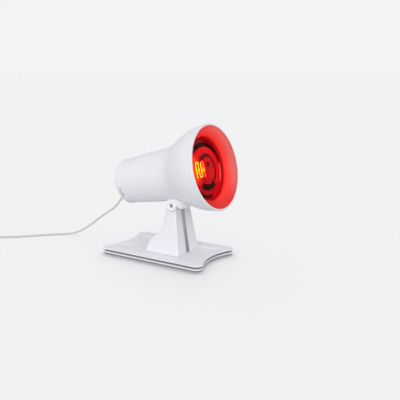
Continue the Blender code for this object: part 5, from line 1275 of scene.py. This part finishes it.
# %% Base cover
# Insets and heights, in mm: in under the lip, and from the top down into the panel.
GROOVE_STEPS = [(5.6, 7.2), (5.6, 4.55), (3.8, 4.5), (3.6, 4.7), (3.6, 8.4)]
PANEL_STEPS = [(-0.5, 10.5), (-0.15, 10.46), (0.05, 10.3), (0.7, 9.2), (0.95, 9.04), (1.3, 9.0)]
SCREW_SEATS = [(x, y) for x in (-56, 56) for y in (-74, 74)]
BRACKET_SEATS = [(0, TILT_Y + dy) for dy in (-8.6, 8.6)]
BOSS_R, PILOT_R, BRACKET_HOLE_R = 4.0, 1.7, 2.3
GROOVE_FROM, GROOVE_TO = 4.4 * MM, 8.6 * MM

edge = np.vstack([GROOVE_STEPS, quarter((0.7, 9.1), 0.7, 180)[::-1],
                  quarter((0.7, 9.8), 0.7, 90)[::-1]])
rows = np.concatenate([plan_rows(edge, OUTER), plan_rows(PANEL_STEPS, PANEL)])
cover = grid_object("base_top_cover", rows)
carve(cover, *base_rods(SCREW_SEATS, 4.5, 7.5, BOSS_R), operation="UNION")
carve(cover, *base_rods(SCREW_SEATS, 2, 8.7, PILOT_R),
      *base_rods(BRACKET_SEATS, 5, 12, BRACKET_HOLE_R))
hand_over(cover, "base", BASE_WHITE, "base_cover")
# The groove's wall between these heights gets the painted shade.
second_finish(cover, GROOVE_PAINTED_SHADE,
              lambda at, normal: (at[:, 2] > GROOVE_FROM) & (at[:, 2] < GROOVE_TO))

# %% Bottom plate, its screws and feet
PLATE_STEPS = [(1.0, 1.2), (0.6, 1.25), (0.42, 1.5), (0.4, 1.8), (0.4, 3.6), (0.42, 3.9),
               (0.6, 4.15), (1.0, 4.2)]
FOOT_SEATS = [(x, y) for x in (-52, 52) for y in (-97, 97)]
SINK_TOP, SINK_HOLE_R, FOOT_HOLE_TOP, FOOT_HOLE_R = 2.7, 3.2, 2.0, 8.3
BASE_SCREW, BASE_SCREW_LENGTH = (2.9, 1.2, 1.4), 4.4 * MM
FOOT_PROFILE = np.array([(0.35, 0.3), (0.35, 5.2), (0.12, 5.8), (0.0, 6.2), (0.0, 7.0),
                         (0.15, 7.5), (0.5, 7.85), (0.9, 8.0), (1.7, 8.0), (1.7, 0.3)]) * MM

plate = grid_object("base_underside", plan_rows(PLATE_STEPS, OUTER))
carve(plate, *base_rods(SCREW_SEATS, -1, 6, PILOT_R),
      *base_rods(SCREW_SEATS, -1, SINK_TOP, SINK_HOLE_R),
      *base_rods(FOOT_SEATS, -1, FOOT_HOLE_TOP, FOOT_HOLE_R, 56), edge=0.12 * MM)
hand_over(plate, "base", BASE_WHITE, "base_bottom_plate")
for i, (x, y) in enumerate(SCREW_SEATS, start=1):
    cross_screw(f"underside_screw_{i}", f"base_screw_{i}", on_base(x, y, SINK_TOP), (0, 0, 1),
                BASE_SCREW, BASE_SCREW_LENGTH, "base")
for i, (x, y) in enumerate(FOOT_SEATS, start=1):
    rows, _ = along_rows(FOOT_PROFILE, on_base(x, y, 0), (0, 0, 1), 64)
    hand_over(grid_object(f"foot_pad_{i}", rows), "base", RUBBER, f"rubber_foot_{i}")

# %% [markdown]
# ## The mains lead
# A round white lead leaves the cap through a tapered, grooved relief, sinks to the
# table, and runs back out of the picture. What the photograph doesn't show is wound
# into a neat coil just outside the view, with the plug beside it. The route repeats the
# source's own points, and one tube follows all of it.

# %% Strain relief
RELIEF_STEPS, RELIEF_LENGTH, RELIEF_BEND = 7, 21 * MM, math.radians(24.0)
RELIEF_RINGS, RELIEF_R, RELIEF_TAPER = 79, 4.4, 1.6
GROOVES, GROOVE_DEPTH, GROOVE_SPAN = 6.5, 0.28 * MM, (0.09, 0.93)
GROOVE_PHASE, GROOVE_STEEPNESS, GROOVE_EDGE = 1.2, 2.2, 0.2
# Distance from the cap's end and radius, in mm, of the collar inside the cap.
COLLAR = np.array([(-4.1, 5.8), (-2.7, 5.8), (-2.5, 5.6), (-2.5, 4.4)]) * MM

bend = RELIEF_BEND * np.arange(1, RELIEF_STEPS + 1) / RELIEF_STEPS
moves = np.stack([0 * bend, np.cos(bend), -np.sin(bend)], 1) * RELIEF_LENGTH / RELIEF_STEPS
relief_line = on_head(CAP_END, 0, LEAD_Z) + np.vstack([[0, 0, 0], np.cumsum(moves, 0)])
outside_cap = resample(relief_line, RELIEF_RINGS)
share = np.linspace(0, 1, RELIEF_RINGS)
wave = np.sin(share * math.tau * GROOVES - GROOVE_PHASE) * GROOVE_STEEPNESS
wave = np.clip(wave, -1, 1) * (share > GROOVE_SPAN[0]) * (share < GROOVE_SPAN[1])
radius = (RELIEF_R - RELIEF_TAPER * share) * MM - GROOVE_DEPTH * (wave > GROOVE_EDGE) * wave
radius = np.concatenate([COLLAR[:, 1], radius])
line = np.vstack([on_head(CAP_END + COLLAR[:, 0], 0, LEAD_Z), outside_cap])
way = np.vstack([np.tile([0, 1.0, 0], (len(COLLAR), 1)),
                 unit(np.gradient(outside_cap, axis=0))])
side = np.array([1.0, 0, 0])
rows = circles(line, radius, side, np.cross(way, side)[:, None], 40)
relief = grid_object("lead_relief", head_to_world(rows))
hand_over(relief, "head", WHITE, "strain_relief")
RELIEF_TIP = head_to_world(relief_line[-1])
TIP_WAY = unit(head_to_world(relief_line[-1] + moves[-1]) - RELIEF_TIP)
print("relief tip at", RELIEF_TIP.round(4))

# %% The lead's route
# Places along the lead, in mm, as the base was drawn.
LEAD_ROUTE = np.array([
    (0, 116.5, 100.8), (0, 122.2, 94.5), (0, 127.7, 87.8), (0, 134.2, 81.2), (0, 142.5, 74.5),
    (0, 152.5, 67.8), (0, 163.5, 60.8), (0, 174.5, 53.4), (0, 185.5, 45.7), (0, 197, 37.3),
    (-0.4, 209, 28.8), (-1.5, 222, 20.2), (-3.5, 236, 12.2), (-6.8, 250, 6.2),
    (-12, 263.5, 2.9), (-19.5, 276, 2.1), (-30, 289, 2.1), (-43, 302, 2.1), (-57, 315, 2.1),
    (-71, 329, 2.1), (-85, 344, 2.1), (-98.5, 360, 2.1), (-109.5, 377, 2.1), (-118, 396, 2.1)]) * MM
TAIL_ROUTE = np.array([(-127.8, 435, 14.2), (-128.3, 444, 10.5), (-127.2, 452, 7.9)]) * MM
TURNS, TURN_STEPS, LAYER_TURNS, CORD_PITCH = 10, 24, 2.5, 4.62
COIL_X, COIL_Y, COIL_R, COIL_FLOOR = -152 * MM, 416 * MM, 22.0, 2.15 * MM
START = math.radians(15.0)


def coil_points():
    """Radius runs in and out once per two layers.

    Height steps up by a cosine at each place where the radius turns back.
    """
    turns = np.arange(TURNS * TURN_STEPS + 1) / TURN_STEPS
    layer, share = np.divmod(turns / LAYER_TURNS, 1)
    share = np.where(layer % 2 == 1, 1 - share, share)
    width = CORD_PITCH * LAYER_TURNS
    radius = (COIL_R + width / 2 - width * share) * MM
    turn_backs = np.arange(1, TURNS / LAYER_TURNS) * LAYER_TURNS
    climb = np.clip((turns[:, None] - turn_backs) * 2 + 0.5, 0, 1)
    height = COIL_FLOOR + (CORD_PITCH * MM * (1 - np.cos(math.pi * climb)) / 2).sum(1)
    a = START + math.tau * turns
    return np.column_stack([COIL_X + radius * np.cos(a), COIL_Y + radius * np.sin(a), height])


coil = coil_points()
print("coil of", TURNS, "turns,", round(float(coil[:, 2].max()) / MM, 1), "mm high at its middle")

# %% Lead, coil and tail as one tube
CORD_R, RING_STEP, STRAIGHT = 2.0 * MM, 2.4 * MM, 4 * MM
PLUG_AT, PLUG_TURN = np.array([-0.1245, 0.462, 0.0068]), math.radians(75)
HEADING = np.array([math.cos(PLUG_TURN), math.sin(PLUG_TURN), 0.0])

tangent = np.array([-math.sin(START), math.cos(START), 0])
tip = RELIEF_TIP - (0, BASE_SHIFT, 0)
lead = flow(np.vstack([[tip - TIP_WAY * MM, tip + TIP_WAY * STRAIGHT], LEAD_ROUTE,
                       [coil[0] - tangent * 2 * STRAIGHT]]), 8)
tail = flow(np.vstack([[coil[-1] + tangent * STRAIGHT], TAIL_ROUTE,
                       [PLUG_AT - HEADING * STRAIGHT, PLUG_AT]]), 8)
path = np.vstack([lead, [coil[0] - tangent * STRAIGHT], coil, tail]) + (0, BASE_SHIFT, 0)
path = resample(path, int(step_lengths(path).sum() / RING_STEP))
cord = grid_object("mains_lead", tube_rows(path, CORD_R, 16))
hand_over(cord, None, CORD_SHEATH, "cord_lead", "cord_coil", "cord_tail")

# %% [markdown]
# ## The plug
# A slim two-pin plug. Its body is a stack of rounded rectangles that widen from the
# lead to the face, with grip ribs across the waist. Each pin has a rounded end.

# %% Plug body
ASIDE, UPRIGHT = np.array([-HEADING[1], HEADING[0], 0.0]), np.array([0, 0, 1.0])
PLUG_SEAT, PLUG_CORNER = PLUG_AT + (0, BASE_SHIFT, 0), 3.2 * MM
SWELL_START, SWELL_RUN, RIB_STEP, RIB_DEPTH, RIB_SPAN = 7.0, 9.0, 2.4, 0.22, (3, 30)
HALF_WIDTH, WIDER, HALF_HEIGHT, HIGHER, RIBBED_UNTIL = 6.5, 10.6, 5.0, 1.7, 0.98
# Distance from the lead, and how far the ends are rounded in there, in mm.
END_ROUNDING = np.array([(0, 1.1), (0.4, 0.6), (1.2, 0.15), (2, 0), (32, 0), (33, 0.15),
                         (33.7, 0.6), (34, 1.2)])

along = END_ROUNDING[:, 0]
along = np.concatenate([along[:3], np.linspace(along[3], along[4], 61), along[5:]])
swell = np.clip((along - SWELL_START) / SWELL_RUN, 0, 1)
swell = swell * swell * (3 - 2 * swell)
ribbed = (along > RIB_SPAN[0]) & (along < RIB_SPAN[1]) & (swell < RIBBED_UNTIL)
rib = np.where(ribbed, RIB_DEPTH * np.sin(along * math.tau / RIB_STEP), 0)
round_in = np.interp(along, *END_ROUNDING.T)
half_w = HALF_WIDTH + WIDER * swell + rib - round_in
half_h = HALF_HEIGHT + HIGHER * swell + rib / 2 - round_in
rows = at_heights(rectangles(half_w * MM, half_h * MM, PLUG_CORNER, 8), along * MM)
plug = grid_object("plug_moulding", PLUG_SEAT + rows @ np.stack([ASIDE, UPRIGHT, HEADING]))
hand_over(plug, "base", CORD_SHEATH, "plug_body")

# %% Pins, and the lead's transform baked into its mesh
PIN_LENGTH, PIN_R, PIN_FROM_SEAT, PIN_APART = 18.0, 2.0, 34.3 * MM, 9.3 * MM

nose = np.linspace(0.2, 1.5, 8)
pin_profile = np.column_stack([np.concatenate([[0, 0, PIN_LENGTH], PIN_LENGTH + np.sin(nose)]),
                               np.concatenate([[0.3, PIN_R, PIN_R], 1.0 + np.cos(nose)])]) * MM
for i, side in enumerate((-1, 1), start=1):
    seat = PLUG_SEAT + HEADING * PIN_FROM_SEAT + ASIDE * PIN_APART * side
    pin = grid_object(f"contact_pin_{i}", along_rows(pin_profile, seat, HEADING, 32)[0])
    hand_over(pin, "base", STEEL, f"plug_pin_{i}")
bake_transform(cord)

# %% [markdown]
# ## Finishes for the solids that stay
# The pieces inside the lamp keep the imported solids, because their plain turned and
# pressed shapes are right already. Each gets the finish of what it is made of.

# %% Finishes of the inner pieces
KEPT = [(STEEL, "ballast_plate bracket_screw_1 bracket_screw_2 pivot_bolt pivot_nut "
                "saddle_screw_1 saddle_screw_2 holder_bracket holder_screw_1 holder_screw_2 "
                "lead_wire_1 lead_wire_2"),
        (CAST, "hinge_bracket"), (FIBRE, "friction_washer_1 friction_washer_2"),
        (SHEET_METAL, "heat_shield"), (CERAMIC, "lamp_holder"), (BRASS, "bulb_screw_cap"),
        (CLEAR_GLASS, "bulb_stem")]
for surface, nodes in KEPT:
    for node in nodes.split():
        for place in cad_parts[node].material_slots:
            place.material = surface
    print(surface.name, "on", nodes)

# %% [markdown]
# ## Floor, backdrop and light
# The photograph's ground is a pale, even grey white, and the world has the same tone for
# the camera. A key lamp from the left and a fill from the front model the white plastic
# and leave the floor out. A third, low lamp reaches only the floor, and only the base
# stands in its way, which gives the narrow shadow along the base's edge. The floor has
# one tone for the camera and a darker one for the light that it throws back.

# %% Floor
FLOOR_HALF, FLOOR_DROP = 40, 0.2 * MM
FLOOR_SEEN, FLOOR_UNSEEN = (0.66, 0.66, 0.664, 1), (0.40, 0.40, 0.41, 1)
BACKDROP_SEEN, BACKDROP_UNSEEN = linear(243, 243, 244), (0.69, 0.69, 0.70, 1)


def camera_only(tree, seen, unseen):
    """One colour for what the camera sees, straight or through glass, one for other rays."""
    rays = wire(tree, "ShaderNodeLightPath").outputs
    direct = calculated(tree, "MAXIMUM", rays["Is Camera Ray"], rays["Is Transmission Ray"])
    return blended(tree, direct, unseen, seen)


pale_floor, tree, shader = new_material("pale_floor", Roughness=1.0, Specular_IOR_Level=0.0)
tree.links.new(camera_only(tree, FLOOR_SEEN, FLOOR_UNSEEN), shader.inputs["Base Color"])
corners = at_heights(SQUARE[None] * FLOOR_HALF, [0])
floor = mesh_object("floor", corners, [(0, 1, 2, 3)])
floor.location.z = -FLOOR_DROP
floor.data.materials.append(pale_floor)

world = bpy.data.worlds.new("studio")
bpy.context.scene.world = world
world.use_nodes = True
background = world.node_tree.nodes["Background"].inputs["Color"]
world.node_tree.links.new(camera_only(world.node_tree, BACKDROP_SEEN, BACKDROP_UNSEEN),
                          background)
print("floor and backdrop set")

# %% Lamps
def light_group(name, objects, state="INCLUDE"):
    """The objects that a lamp reaches, or that stand in its way."""
    group = bpy.data.collections.new(name)
    for obj in objects:
        group.objects.link(obj)
    for entry in group.collection_objects:
        entry.light_linking.link_state = state
    return group


def sun(name, towards_light, strength, angle):
    """A soft far lamp, given by the direction towards it and its width in degrees."""
    lamp = bpy.data.lights.new(name, "SUN")
    lamp.energy, lamp.angle = strength, math.radians(angle)
    obj = bpy.data.objects.new(name, lamp)
    obj.rotation_euler = Vector(towards_light).to_track_quat("Z", "Y").to_euler()
    bpy.context.collection.objects.link(obj)
    return obj.light_linking


key = sun("key_from_the_left", (-1.9, -0.1, 0.6), 0.95, 36.0)
fill = sun("fill_from_the_front", (-0.5, -1.0, 0.42), 0.5, 26.0)
low = sun("soft_light_on_the_floor", (0.8, 0.5, 0.42), 5.0, 60.0)
key.receiver_collection = fill.receiver_collection = light_group("all_but_floor", [floor],
                                                                 "EXCLUDE")
low.receiver_collection = light_group("floor_alone", [floor])
low.blocker_collection = light_group("low_pieces", [cover, plate])
print("three lamps set")
